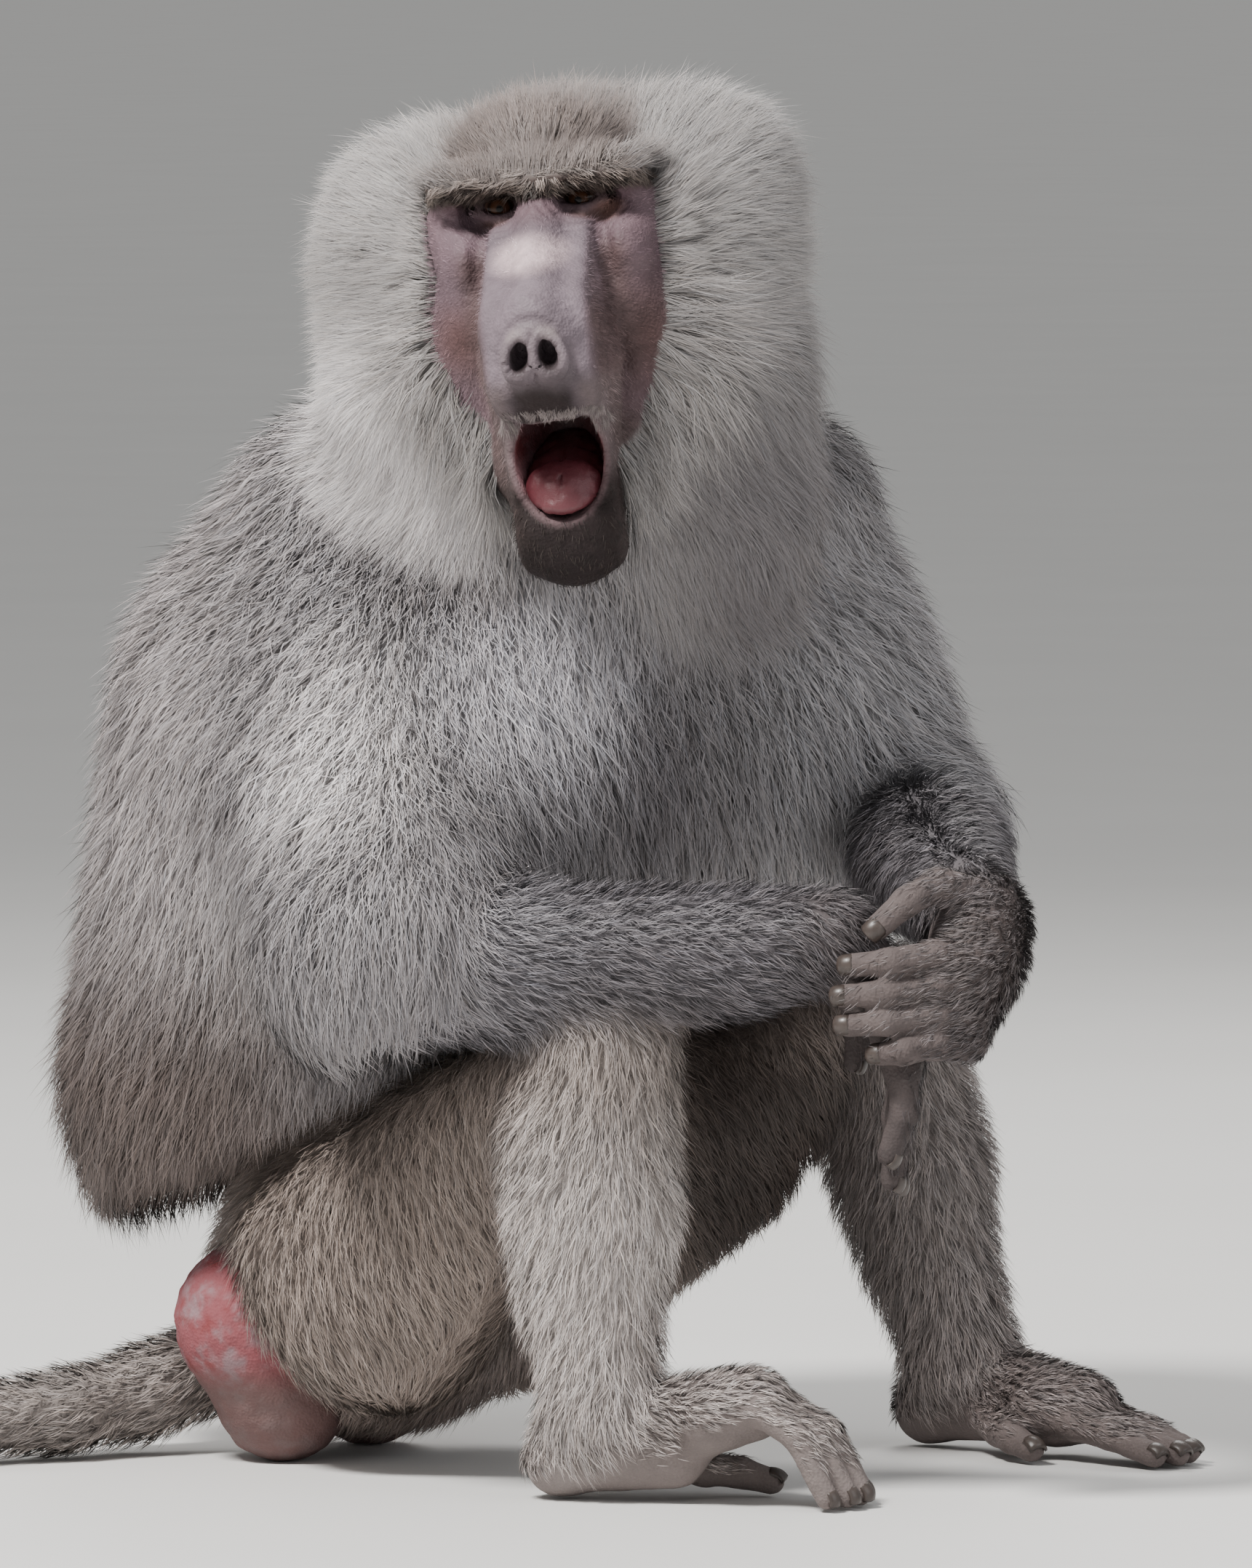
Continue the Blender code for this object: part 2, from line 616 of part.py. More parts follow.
def callus_lumps(side):
    """The bare pink seat pad; side is -1 right, 1 left."""
    f, left = heading(PELVIS_HEADING)
    up = vec(0, 0, 1)
    c = vec(*PELVIS)
    l = Lumps()
    axes = np.stack([left, f, up])
    l.ball(c - 74 * f + side * 58 * left + vec(0, 0, -33), (47, 47, 46), axes=axes)
    l.ball(c - 66 * f + side * 48 * left + vec(0, 0, -71), (37, 38, 39), k=16, axes=axes)
    return l


def ear_lumps(side):
    l = Lumps(HEAD_AT, HEAD_AXES)
    l.ball((side * 62, -46, -6), (9, 16, 22), k=4)
    l.ball((side * 72, -44, -5), (7, 10, 14), k=3, cut=True)
    return l


# ---------------------------------------------------------------- materials
FINISH = {
    "bare_face": ((0.20, 0.135, 0.125), 0.55),
    "ruff": ((0.44, 0.40, 0.37), 0.9),
    "mantle": ((0.33, 0.29, 0.265), 0.9),
    "body_fur": ((0.25, 0.205, 0.175), 0.9),
    "dark_fur": ((0.075, 0.062, 0.058), 0.9),
    "hand_skin": ((0.13, 0.105, 0.1), 0.7),
    "eye": ((0.10, 0.045, 0.02), 0.12),
    "tongue": ((0.50, 0.19, 0.18), 0.4),
    "seat_pad": ((0.58, 0.24, 0.24), 0.6),
}


def paint(ob, key):
    colour, rough = FINISH[key]
    m = bpy.data.materials.get(key)
    if m is None:
        m = bpy.data.materials.new(key)
        m.use_nodes = True
        shader = m.node_tree.nodes["Principled BSDF"]
        shader.inputs["Base Color"].default_value = (*colour, 1.0)
        shader.inputs["Roughness"].default_value = rough
        shader.inputs["Metallic"].default_value = 0.0
        m.diffuse_color = (*colour, 1.0)
    ob.data.materials.clear()
    ob.data.materials.append(m)


# ---------------------------------------------------------------- making the parts
def make():
    part = {}

    # head: face and skull, with the jaw parted through the hinge and the corners of the mouth
    whole = build("whole", head_lumps(), (-112, 20, 440), (104, 316, 768), 2.7, 1280)
    hinge, corner = in_head(0, -60, -62), in_head(0, 36, -139)
    up = np.cross(HEAD_AXES.T @ vec(1, 0, 0), corner - hinge)
    up *= np.sign(up[2])
    part["head"] = ahead_of(whole, "head", (corner, up), (in_head(0, -64, 0), HEAD_AXES.T @ vec(0, 1, 0)))
    part["lower_jaw"] = ahead_of(whole, "lower_jaw", (corner, -up))
    remove(whole)

    for side, name in ((-1, "right"), (1, "left")):
        e = Lumps(HEAD_AT, HEAD_AXES).ball((side * EYE_APART / 2, -9.5, -4), EYE_RADIUS)
        c = in_head(side * EYE_APART / 2, -9.5, -4)
        part["eye_" + name] = build("eye", e, c - 14, c + 14, 2.2, 90)
        c = in_head(side * 62, -46, -6)
        part["ear_" + name] = build("ear", ear_lumps(side), c - vec(30, 30, 34), c + vec(30, 30, 34), 1.8, 110)
    tongue = Lumps(HEAD_AT, HEAD_AXES)
    tongue.cone((0, -10, -140), (0, 26, -153), 19, 18.5, flat=((0, 0.35, 1), 0.62))
    tongue.cone((0, 24, -153), (0, 38, -160), 18, 14, k=8, flat=((0, 0.5, 1), 0.45))
    c = in_head(0, 14, -152)
    part["tongue"] = build("tongue", tongue, c - 46, c + 46, 2.0, 130)

    # limbs below the elbows and knees
    limbs = ((-1, "right", KNEE_R, ANKLE_R, ELBOW_R, WRIST_R), (1, "left", KNEE_L, ANKLE_L, ELBOW_L, WRIST_L))
    for side, name, knee, ankle, elbow, wrist in limbs:
        lo, hi = np.minimum(knee, ankle) - 64, np.maximum(knee, ankle) + 64
        part["shin_" + name] = build("shin", shin_lumps(knee, ankle, side), lo, hi, 5.0, 200)
        f, left = heading({-1: FOOT_R_HEADING, 1: FOOT_L_HEADING}[side])
        a = vec(ankle[0], ankle[1], 0)
        ends = np.stack([a - 62 * f, a + 185 * f, a - 66 * left, a + 66 * left])
        lo, hi = (*(ends.min(0)[:2] - 14), -34), (*(ends.max(0)[:2] + 14), 98)
        part["foot_" + name] = build("foot", foot_lumps(ankle, side), lo, hi, 2.8, 390)
        lo, hi = np.minimum(elbow, wrist) - 64, np.maximum(elbow, wrist) + 64
        part["forearm_" + name] = build("forearm", forearm_lumps(elbow, wrist, side), lo, hi, 4.5, 180)
    part["hand_right"] = build("hand", hand_right_lumps(), (104, 194, 140), (206, 296, 336), 2.2, 390)
    part["hand_left"] = build("hand", hand_left_lumps(), (134, 196, 222), (276, 316, 356), 2.2, 450)
    part["callosity_right"] = build("callosity", callus_lumps(-1), (-260, -140, -80), (-50, 100, 160), 4.0, 100)
    part["callosity_left"] = build("callosity", callus_lumps(1), (-240, -220, -80), (-10, 30, 160), 4.0, 90)
    tail = build("tail", tail_lumps(), (-530, -240, -20), (-130, 80, 92), 5.0, 240)
    root, bend, far = TAIL[2], TAIL[5], TAIL[6]
    side = vec(-1, 0.1, 0)
    part["tail_root"] = ahead_of(tail, "tail_root", (root, -side))
    part["tail_middle"] = ahead_of(tail, "tail_middle", (root, side), (far, (0.1, 1, 0)))
    part["tail_tip"] = ahead_of(tail, "tail_tip", (far, (-0.1, -1, 0)))
    remove(tail)

    # trunk, thighs, upper arms, mantle and mane are one chain, parted along the mantle's hem and across the limbs
    upper = build("body", body_lumps(), (-340, -310, -20), (340, 360, 800), 7.0, BODY_TRIANGLES)
    hem = vec(*HEM_FACES)
    part["mane"] = part_off(upper, "mane", (vec(0, 100, 516), vec(0, 0.30, 1)))
    lower = part_off(upper, "pelvis", (HEM_AT, hem))
    f, left = heading(PELVIS_HEADING)
    middle = vec(*PELVIS) + 60 * f
    for side, name, hip, knee in ((-1, "thigh_right", HIP_R, KNEE_R), (1, "thigh_left", HIP_L, KNEE_L)):
        n = vec(*knee) - vec(*hip)
        n[2] *= 0.25
        part[name] = part_off(lower, name, (along(hip, knee, 0.36), n), (middle, left * side))
    part["belly"] = part_off(lower, "belly", (vec(*PELVIS) + 25 * f, f))
    part["pelvis"] = lower
    arms = (
        ("upper_arm_right", SHOULDER_R, ELBOW_R, (-0.2, 1, 0), ((-172, 60, 300), (1, 0.3, 0))),
        ("upper_arm_left", SHOULDER_L, ELBOW_L, (1, 0.15, 0), ((96, 0, 300), (1, 0, 0))),
    )
    for name, shoulder, elbow, out, edge in arms:
        out = vec(*out) / np.linalg.norm(out)
        c = along(shoulder, elbow, 0.55)
        part[name] = part_off(upper, name, (c, vec(*elbow) - vec(*shoulder)), (c - 84 * out, out), edge)
    f, left = heading(CHEST_HEADING)
    part["chest"] = part_off(upper, "chest", ((-10, 5, 380), f))
    part["mantle"] = upper

    # neighbours give way to what is more exact
    order = (
        "eye_right", "eye_left", "tongue", "head", "lower_jaw", "ear_right", "ear_left",
        "hand_right", "hand_left", "forearm_right", "forearm_left", "foot_right", "foot_left", "shin_right", "shin_left",
        "callosity_right", "callosity_left", "tail_root", "tail_middle", "tail_tip", "mane", "upper_arm_right",
        "upper_arm_left", "thigh_right", "thigh_left", "chest", "mantle", "belly", "pelvis",
    )
    done = {}
    for name in order:
        ob = flatten(lighten(clear_of(part[name], [o for k, o in done.items() if not is_parted(name, k)])))
        ob.name = name
        done[name] = ob
    return done


def is_parted(a, b):
    """Whether two parts came from one chain, and so are already apart."""
    chains = (
        ("head", "lower_jaw"), ("tail_root", "tail_middle", "tail_tip"),
        ("upper_arm_right", "upper_arm_left", "thigh_right", "thigh_left", "chest", "mantle", "belly", "pelvis", "mane"),
    )
    return any(a in c and b in c for c in chains)


LOOK = {
    "head": "bare_face", "lower_jaw": "bare_face", "ear": "hand_skin", "eye": "eye", "tongue": "tongue", "mane": "ruff",
    "mantle": "mantle", "chest": "mantle", "upper_arm": "mantle", "belly": "dark_fur", "pelvis": "body_fur", "tail": "body_fur",
    "callosity": "seat_pad", "thigh": "body_fur", "shin": "body_fur", "foot": "body_fur", "forearm": "body_fur", "hand": "hand_skin",
}


def turned(points):
    """From the working frame to the part's: the trunk faces -Y, and the animal's left is +X."""
    a = math.radians(-TURN)
    u, d, z = points.T
    return np.stack([u * math.cos(a) + d * math.sin(a), u * math.sin(a) - d * math.cos(a), z], axis=1)


def main():
    for ob in list(bpy.data.objects):
        bpy.data.objects.remove(ob)
    parts = make()
    low, high = vec(9, 9, 9), vec(-9, -9, -9)
    for ob in parts.values():
        mesh = ob.data
        co = np.empty(len(mesh.vertices) * 3)
        mesh.vertices.foreach_get("co", co)
        co = turned(co.reshape(-1, 3))
        low, high = np.minimum(low, co.min(0)), np.maximum(high, co.max(0))
        mesh.vertices.foreach_set("co", co.ravel())
        mesh.flip_normals()
        mesh.update()
    shift = vec((low[0] + high[0]) / 2, (low[1] + high[1]) / 2, low[2])
    for name, ob in parts.items():
        mesh = ob.data
        co = np.empty(len(mesh.vertices) * 3)
        mesh.vertices.foreach_get("co", co)
        centre = co.reshape(-1, 3).mean(0)
        mesh.vertices.foreach_set("co", (co.reshape(-1, 3) - centre).ravel())
        mesh.update()
        ob.location = centre - shift
        mesh.polygons.foreach_set("use_smooth", np.ones(len(mesh.polygons), bool))
        mesh.set_sharp_from_angle(angle=math.radians(50))
        paint(ob, next(v for k, v in LOOK.items() if name.startswith(k)))
    return parts


main()
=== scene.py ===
"""Adult male hamadryas baboon, sitting: the looks.

One skin is grown from soft lumps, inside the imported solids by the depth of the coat. Over it lies the coat: thin
tapered locks of hair, rooted on the skin, that follow the lie of the hair and end at the outline of the solids.
Sizes are in millimetres in a working frame: u to the side, d the way the face looks, z up. row() turns them into
the part's frame in metres.
"""

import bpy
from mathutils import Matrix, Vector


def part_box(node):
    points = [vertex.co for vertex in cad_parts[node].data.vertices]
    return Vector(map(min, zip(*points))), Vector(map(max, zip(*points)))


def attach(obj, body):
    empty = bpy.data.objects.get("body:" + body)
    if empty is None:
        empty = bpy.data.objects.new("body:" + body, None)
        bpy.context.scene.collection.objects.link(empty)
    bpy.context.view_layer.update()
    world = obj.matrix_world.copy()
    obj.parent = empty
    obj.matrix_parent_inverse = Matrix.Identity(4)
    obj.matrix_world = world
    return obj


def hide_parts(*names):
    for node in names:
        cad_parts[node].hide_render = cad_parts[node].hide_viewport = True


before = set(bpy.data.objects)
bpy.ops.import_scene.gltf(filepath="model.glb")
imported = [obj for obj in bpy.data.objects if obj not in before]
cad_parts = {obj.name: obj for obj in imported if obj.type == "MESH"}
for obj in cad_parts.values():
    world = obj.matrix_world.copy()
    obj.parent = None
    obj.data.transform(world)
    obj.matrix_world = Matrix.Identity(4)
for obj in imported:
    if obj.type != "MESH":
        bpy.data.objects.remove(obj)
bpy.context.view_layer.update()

import math

import bmesh
import bpy
import mathutils
import mathutils.kdtree
import numpy as np

F32 = np.float32

# ---------------------------------------------------------------- where things are, mm, as in the solids
TURN = 58.0
HEAD_AT = (-7.4, 190.0, 684.0)
HEAD_YAW, HEAD_ROLL, HEAD_PITCH = -7.0, 6.7, 0.0
EYE_APART, EYE_RADIUS, EYE_Z = 42.0, 10.8, -7.0
HIP_R, KNEE_R, ANKLE_R = (-96.0, 53.0, 112.0), (26.0, 213.0, 236.0), (26.0, 208.0, 46.0)
HIP_L, KNEE_L, ANKLE_L = (-40.0, -53.0, 112.0), (176.0, -50.0, 236.0), (220.0, -48.0, 46.0)
SHOULDER_R, ELBOW_R, WRIST_R = (-74.0, 46.0, 425.0), (-86.0, 200.0, 279.0), (146.0, 250.0, 296.0)
SHOULDER_L, ELBOW_L, WRIST_L = (40.0, -80.0, 425.0), (192.0, 4.0, 338.0), (214.0, 228.0, 312.0)
FOOT_R_HEADING, FOOT_L_HEADING = 72.0, 50.0
PELVIS, PELVIS_HEADING = (-64.0, 0.0, 108.0), 62.0
CHEST_HEADING = 48.0
TAIL = ((-178, -44, 48), (-222, -22, 32), (-262, 6, 25), (-318, 34, 23), (-382, 34, 22), (-436, 2, 21), (-468, -52, 21), (-478, -112, 21), (-470, -170, 22))
TAIL_RADIUS = (30, 27, 25, 23, 21.5, 20, 19.5, 21, 15)
HEM_AT, HEM_FACES = (-213.0, -70.0, 138.0), (0.42 * 0.85, 0.42 * 0.52, -1.0)


def vec(*p):
    return np.array(p, dtype=np.float64)


def unit(v):
    return v / np.maximum(np.linalg.norm(v, axis=-1, keepdims=True), 1e-9)


def heading(degrees):
    s, c = math.sin(math.radians(degrees)), math.cos(math.radians(degrees))
    return vec(s, c, 0.0), vec(c, -s, 0.0)


def frame_of(yaw, pitch, roll):
    y, p, r = (math.radians(v) for v in (yaw, pitch, roll))
    forward = vec(math.sin(y) * math.cos(p), math.cos(y) * math.cos(p), math.sin(p))
    left = vec(math.cos(y), -math.sin(y), 0.0)
    up = np.cross(left, forward)
    left, up = left * math.cos(r) + up * math.sin(r), up * math.cos(r) - left * math.sin(r)
    return np.stack([left, forward, up])


HEAD_AXES = frame_of(HEAD_YAW, HEAD_PITCH, HEAD_ROLL)
_a = math.radians(-TURN)
TO_ROW = np.array([[math.cos(_a), math.sin(_a), 0], [math.sin(_a), -math.cos(_a), 0], [0, 0, 1]])


def in_head(*p):
    return vec(*HEAD_AT) + HEAD_AXES.T @ vec(*p)


def to_head(p):
    return (p - vec(*HEAD_AT)) @ HEAD_AXES.T


def along(a, b, t):
    return vec(*a) + (vec(*b) - vec(*a)) * t


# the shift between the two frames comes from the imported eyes
_shift = np.zeros(3)
for _side, _name in ((-1, "eye_right"), (1, "eye_left")):
    _lo, _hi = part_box(_name)
    _shift += (TO_ROW @ in_head(_side * EYE_APART / 2, -9.5, -4) * 0.001 - (np.array(_lo) + np.array(_hi)) / 2) / 2
_shift[2] = 0.0


def row(p):
    return np.asarray(p) @ TO_ROW.T * 0.001 - _shift


# ---------------------------------------------------------------- lumps
def smooth_min(a, b, k):
    if k <= 0:
        return np.minimum(a, b)
    h = np.maximum(k - np.abs(a - b), 0.0)
    return np.minimum(a, b) - h * h * (0.25 / k)


class Lumps:
    """Tapered limbs and ellipsoids joined softly. The field is about the distance to their surface in mm, negative
    inside; bare=1 gives the skin, less the depth of the coat."""

    def __init__(self, at=(0, 0, 0), axes=None):
        self.items, self.at, self.axes = [], vec(*at), np.eye(3) if axes is None else axes

    def _to(self, p):
        return self.at + self.axes.T @ np.asarray(p, float)

    def cone(self, a, b, ra, rb, k=12.0, flat=None, coat=0.0, cut=False):
        a, b = self._to(a), self._to(b)
        if flat is not None:
            n = self.axes.T @ np.asarray(flat[0], float)
            flat = (n / np.linalg.norm(n), flat[1])
        coat = coat if isinstance(coat, tuple) else (coat, coat)
        self.items.append(("cone", cut, k, coat, a, b - a, ra, rb, flat))
        return self

    def ball(self, c, r, k=12.0, axes=None, coat=0.0, cut=False):
        c = self._to(c)
        own = (np.eye(3) if axes is None else np.asarray(axes)) @ self.axes if axes is not None else self.axes
        r = (r, r, r) if np.isscalar(r) else r
        self.items.append(("ball", cut, k, coat, c, own, r))
        return self

    def plane(self, c, n, k=3.0):
        n = self.axes.T @ np.asarray(n, float)
        self.items.append(("plane", True, k, 0.0, self._to(c), n / np.linalg.norm(n)))
        return self

    def join(self, other, k=12.0):
        self.items.append(("join", False, k, 0.0, other))
        return self

    def value(self, centre, offset=None, bare=0.0, reach=34.0):
        """The field at centre + offset for each pair, as an array (centres, offsets). Lumps out of reach are skipped."""
        if offset is None:
            offset = np.zeros((1, 3))
        radius = float(np.sqrt((offset**2).sum(1)).max())
        f = np.full((len(centre), len(offset)), 900.0, F32)
        for kind, cut, k, coat, *v in self.items:
            if kind == "join":
                d, rows = v[0].value(centre, offset, bare, reach), slice(None)
            elif kind == "plane":
                c, n = v
                rows = slice(None)
                d = -((centre - c) @ n)[:, None] - (offset @ n)[None]
            else:
                if kind == "cone":
                    a, ab, ra, rb, flat = v
                    middle, size = a + ab / 2, np.linalg.norm(ab) / 2 + max(ra, rb)
                else:
                    c, e, r = v
                    middle, size = c, max(r)
                rows = np.nonzero(((centre - middle) ** 2).sum(1) < (size + radius + reach) ** 2)[0]
                if not len(rows):
                    continue
                p = (centre[rows][:, None] + offset[None]).astype(F32)
                if kind == "cone":
                    x, y, z = p[..., 0] - F32(a[0]), p[..., 1] - F32(a[1]), p[..., 2] - F32(a[2])
                    ab = ab.astype(F32)
                    t = np.clip((x * ab[0] + y * ab[1] + z * ab[2]) / F32(max(ab @ ab, 1e-9)), 0, 1)
                    x, y, z = x - ab[0] * t, y - ab[1] * t, z - ab[2] * t
                    if flat is not None:
                        n, q = flat[0].astype(F32), flat[1]
                        s = (x * n[0] + y * n[1] + z * n[2]) * F32(1.0 / q - 1.0)
                        x, y, z = x + n[0] * s, y + n[1] * s, z + n[2] * s
                    wa, wb = ra - coat[0] * bare, rb - coat[1] * bare
                    d = np.sqrt(x * x + y * y + z * z) - (F32(wa) + F32(wb - wa) * t)
                else:
                    rr = [max(q - coat * bare, 1.0) for q in r]
                    x, y, z = p[..., 0] - F32(c[0]), p[..., 1] - F32(c[1]), p[..., 2] - F32(c[2])
                    e = e.astype(F32)
                    l = [(x * e[i][0] + y * e[i][1] + z * e[i][2]) / F32(rr[i]) for i in range(3)]
                    k0 = np.sqrt(l[0] ** 2 + l[1] ** 2 + l[2] ** 2)
                    k1 = np.sqrt((l[0] / F32(rr[0])) ** 2 + (l[1] / F32(rr[1])) ** 2 + (l[2] / F32(rr[2])) ** 2)
                    d = k0 * (k0 - 1) / np.maximum(k1, F32(1e-6))
            g = f[rows]
            f[rows] = -smooth_min(-g, d, F32(k)) if cut else smooth_min(g, d, F32(k))
        return f

    def at_points(self, p, bare=0.0, reach=34.0):
        return self.value(np.asarray(p, float), None, bare, reach)[:, 0]

    def slope(self, p, bare=0.0, h=0.6):
        """Field and gradient at points."""
        f = self.at_points(p, bare)
        g = np.stack([self.at_points(p + h * np.eye(3)[i], bare) - f for i in range(3)], axis=1) / h
        return f, g


# ---------------------------------------------------------------- the animal, lump by lump
def digit(l, root, knuckle, middle, tip, r, k=3.0, bare=0.0):
    l.cone(root, knuckle, r * 1.25, r * 1.12, k=6, coat=bare)
    l.cone(knuckle, middle, r * 1.1, r, k=k, coat=bare)
    l.cone(middle, tip, r, r * 0.88, k=k, coat=bare)
    NAILS.append((vec(*middle), vec(*tip), r * 0.88 - bare, len(NAILS)))


NAILS = []


def mouth_room(l):
    tilt = math.radians(-20)
    axes = np.array([[1, 0, 0], [0, math.cos(tilt), math.sin(tilt)], [0, -math.sin(tilt), math.cos(tilt)]])
    l.ball((0, 42, -142), (23, 58, 27.5), k=4, axes=axes, cut=True)
    return l


def head_lumps():
    """Skull, face and jaw, with lids, nostril rims, lips and folds."""
    l = Lumps(HEAD_AT, HEAD_AXES)
    l.ball((0, -74, 2), (60, 76, 51), coat=14)
    l.ball((0, -40, 18), (50, 46, 32), k=16, coat=13)
    l.cone((-44, 3, 4), (44, 3, 4), 11.5, 11.5, k=6, flat=((0, 0, 1), 0.8), coat=0)
    for s in (-1, 1):
        l.cone((s * 42, 2, 4.5), (s * 55, -18, -10), 10.5, 9, k=8, coat=2)
        l.cone((s * 48, -12, -22), (s * 40, 4, -34), 13, 12, k=10)
        l.ball((s * 38, -26, -58), (25, 38, 44), k=14)
        l.ball((s * 47, -30, -84), (27, 30, 36), k=14)
        l.cone((s * 17, -4, -18), (s * 20, 66, -68), 10, 13, k=7)
        l.ball((s * 21.5, 4, EYE_Z + 1.5), (16.5, 8.5, 7.5), k=9, cut=True)
    l.cone((0, 0, -6), (0, 78, -66), 10, 17, k=10)
    l.cone((0, -24, -54), (0, 54, -86), 37, 35, k=12)
    l.ball((0, 80, -78), (19, 14, 16), k=8)
    l.ball((0, 58, -97), (34, 25, 21), k=10)
    for s in (-1, 1):
        l.cone((s * 24, 28, -92), (s * 20, 24, -150), 15, 13, k=10)
        l.cone((s * 26, -20, -88), (s * 20, -8, -142), 24, 22, k=14)
        l.cone((s * 20, 2, -140), (s * 14, 24, -178), 18, 16, k=12)
    l.ball((0, 19, -184), (27, 21, 23.5), k=12)
    l.cone((-12, 30, -172), (12, 30, -172), 12, 12, k=8)
    # rims of the nostrils, groove between them
    for s in (-1, 1):
        l.ball((s * 8.6, 90, -84.5), (9.2, 8.0, 13.2), k=3.5)
    l.cone((0, 103, -74), (0, 99, -98), 1.3, 1.3, k=2.4, cut=True)
    # lids: full round the eye, the upper one heavy
    for s in (-1, 1):
        e = s * EYE_APART / 2
        l.ball((e, -9.5, EYE_Z), 12.7, k=6.0)
        l.cone((e - s * 12, -3.5, EYE_Z + 5.2), (e - s * 1, 1.9, EYE_Z + 7.4), 2.4, 3.0, k=2.5)
        l.cone((e - s * 1, 1.9, EYE_Z + 7.4), (e + s * 13, -5.0, EYE_Z + 4.8), 3.0, 2.4, k=2.5)
        l.cone((e - s * 12, -2.0, EYE_Z - 3.2), (e + s * 1, 1.0, EYE_Z - 6.4), 2.0, 2.4, k=3)
        l.cone((e + s * 1, 1.0, EYE_Z - 6.4), (e + s * 13, -5.0, EYE_Z - 2.8), 2.4, 2.0, k=3)
        l.ball((e + s * 0.3, 4.2, EYE_Z + 0.2), (11.2, 9.2, 4.3 if s < 0 else 3.6), k=0.8, cut=True)
    for s in (-1, 1):
        l.cone((s * 7.7, 100, -86.5), (s * 6.9, 82, -81), 9.9, 7.0, k=1.6, flat=((1, s * 0.1, s * 0.22), 0.64), cut=True)
    # lips: a soft roll round the opening
    ring = [(24.5 * math.sin(a), 27.5 * math.cos(a)) for a in np.linspace(0, 2 * math.pi, 13)]
    for (x0, z0), (x1, z1) in zip(ring[:-1], ring[1:]):
        if max(z0, z1) < 12:
            y0, y1 = 33 - z0 * 0.10, 33 - z1 * 0.10
            l.cone((x0, y0, -142 + z0), (x1, y1, -142 + z1), 3.4, 3.4, k=5)
    return mouth_room(l)


def undercoat(l, share):
    """Brings the skin out to the top of the dense undercoat."""
    for i, (kind, cut, k, coat, *v) in enumerate(l.items):
        if kind in ("cone", "ball"):
            l.items[i] = (kind, cut, k, tuple(c * share for c in coat) if isinstance(coat, tuple) else coat * share, *v)
    return l


def mane_lumps():
    l = Lumps(HEAD_AT, HEAD_AXES)
    l.ball((-70, -82, -38), (70, 74, 82), k=20, coat=38)
    l.ball((66, -82, -34), (68, 74, 84), k=20, coat=38)
    l.ball((-76, -92, -8), (42, 56, 43), k=18, coat=30)
    l.ball((84, -92, -4), (44, 58, 42), k=18, coat=28)
    l.ball((-72, -62, -96), (66, 58, 60), k=24, coat=34)
    l.ball((62, -76, -100), (64, 58, 62), k=24, coat=34)
    for s in (-1, 1):
        l.cone((s * 60, -82, -120), (s * 52, -96, -170), 62, 70, k=30, coat=30)
    l.ball((6, -92, -2), (100, 68, 46), k=16, coat=26)
    l.ball((0, -104, -16), (92, 78, 68), k=24, coat=34)
    l.ball((0, -112, -98), (104, 72, 84), k=30, coat=34)
    return undercoat(l, 0.58)


def cape_lumps():
    l = Lumps()
    l.cone((-60, 22, 394), (58, -40, 398), 160, 158, coat=34)
    l.cone((-76, 0, 372), (-136, -32, 205), 174, 136, k=30, coat=(36, 30))
    l.cone(SHOULDER_R, along(SHOULDER_R, ELBOW_R, 0.95), 112, 76, k=40, coat=(34, 22))
    l.cone(SHOULDER_L, along(SHOULDER_L, ELBOW_L, 1.0), 108, 54, k=40, coat=(34, 14))
    l.cone((0, 20, 470), in_head(0, -95, -110), 118, 92, k=40, coat=30)
    l.ball((-106, 44, 512), (68, 72, 62), k=30, coat=30)
    l.ball((106, -4, 514), (72, 72, 62), k=30, coat=30)
    l.plane(HEM_AT, HEM_FACES, k=4)
    return undercoat(l, 0.5)


def trunk_lumps(thighs=True):
    f, left = heading(PELVIS_HEADING)
    axes = np.stack([left, f, vec(0, 0, 1)])
    c = vec(*PELVIS)
    l = Lumps()
    l.ball(c - 30 * f + vec(0, 0, -4), (96, 96, 96), axes=axes, coat=10)
    l.ball((-46, 6, 205), (104, 108, 118), k=40, axes=axes, coat=14)
    l.ball((-14, 8, 340), (128, 118, 150), k=40, axes=axes, coat=20)
    l.ball(c - 74 * f + vec(0, 0, -34), (84, 52, 66), k=20, axes=axes, coat=8)
    if thighs:
        for hip, knee in ((HIP_R, KNEE_R), (HIP_L, KNEE_L)):
            thigh(l, hip, knee)
    return l


def thigh(l, hip, knee):
    l.cone(hip, knee, 78, 40, k=22, coat=(10, 8))
    l.cone(along(hip, knee, 0.1) + vec(0, 0, -28), along(hip, knee, 0.62) + vec(0, 0, -40), 66, 38, k=22, coat=(10, 9))
    return l


def shin_lumps(knee, ankle, side):
    l = Lumps()
    f, left = heading({-1: FOOT_R_HEADING, 1: FOOT_L_HEADING}[side])
    l.cone(knee, along(knee, ankle, 0.45), 44, 45, coat=9)
    l.cone(along(knee, ankle, 0.4) - 4 * f, ankle, 45, 35, k=14, coat=(10, 8))
    l.cone(along(knee, ankle, 0.22) - 18 * f, along(knee, ankle, 0.7) - 16 * f, 44, 33, k=16, coat=(11, 10))
    l.cone(ankle, vec(*ankle) - 16 * f + vec(0, 0, -20), 33, 24, k=12, coat=5)
    return l


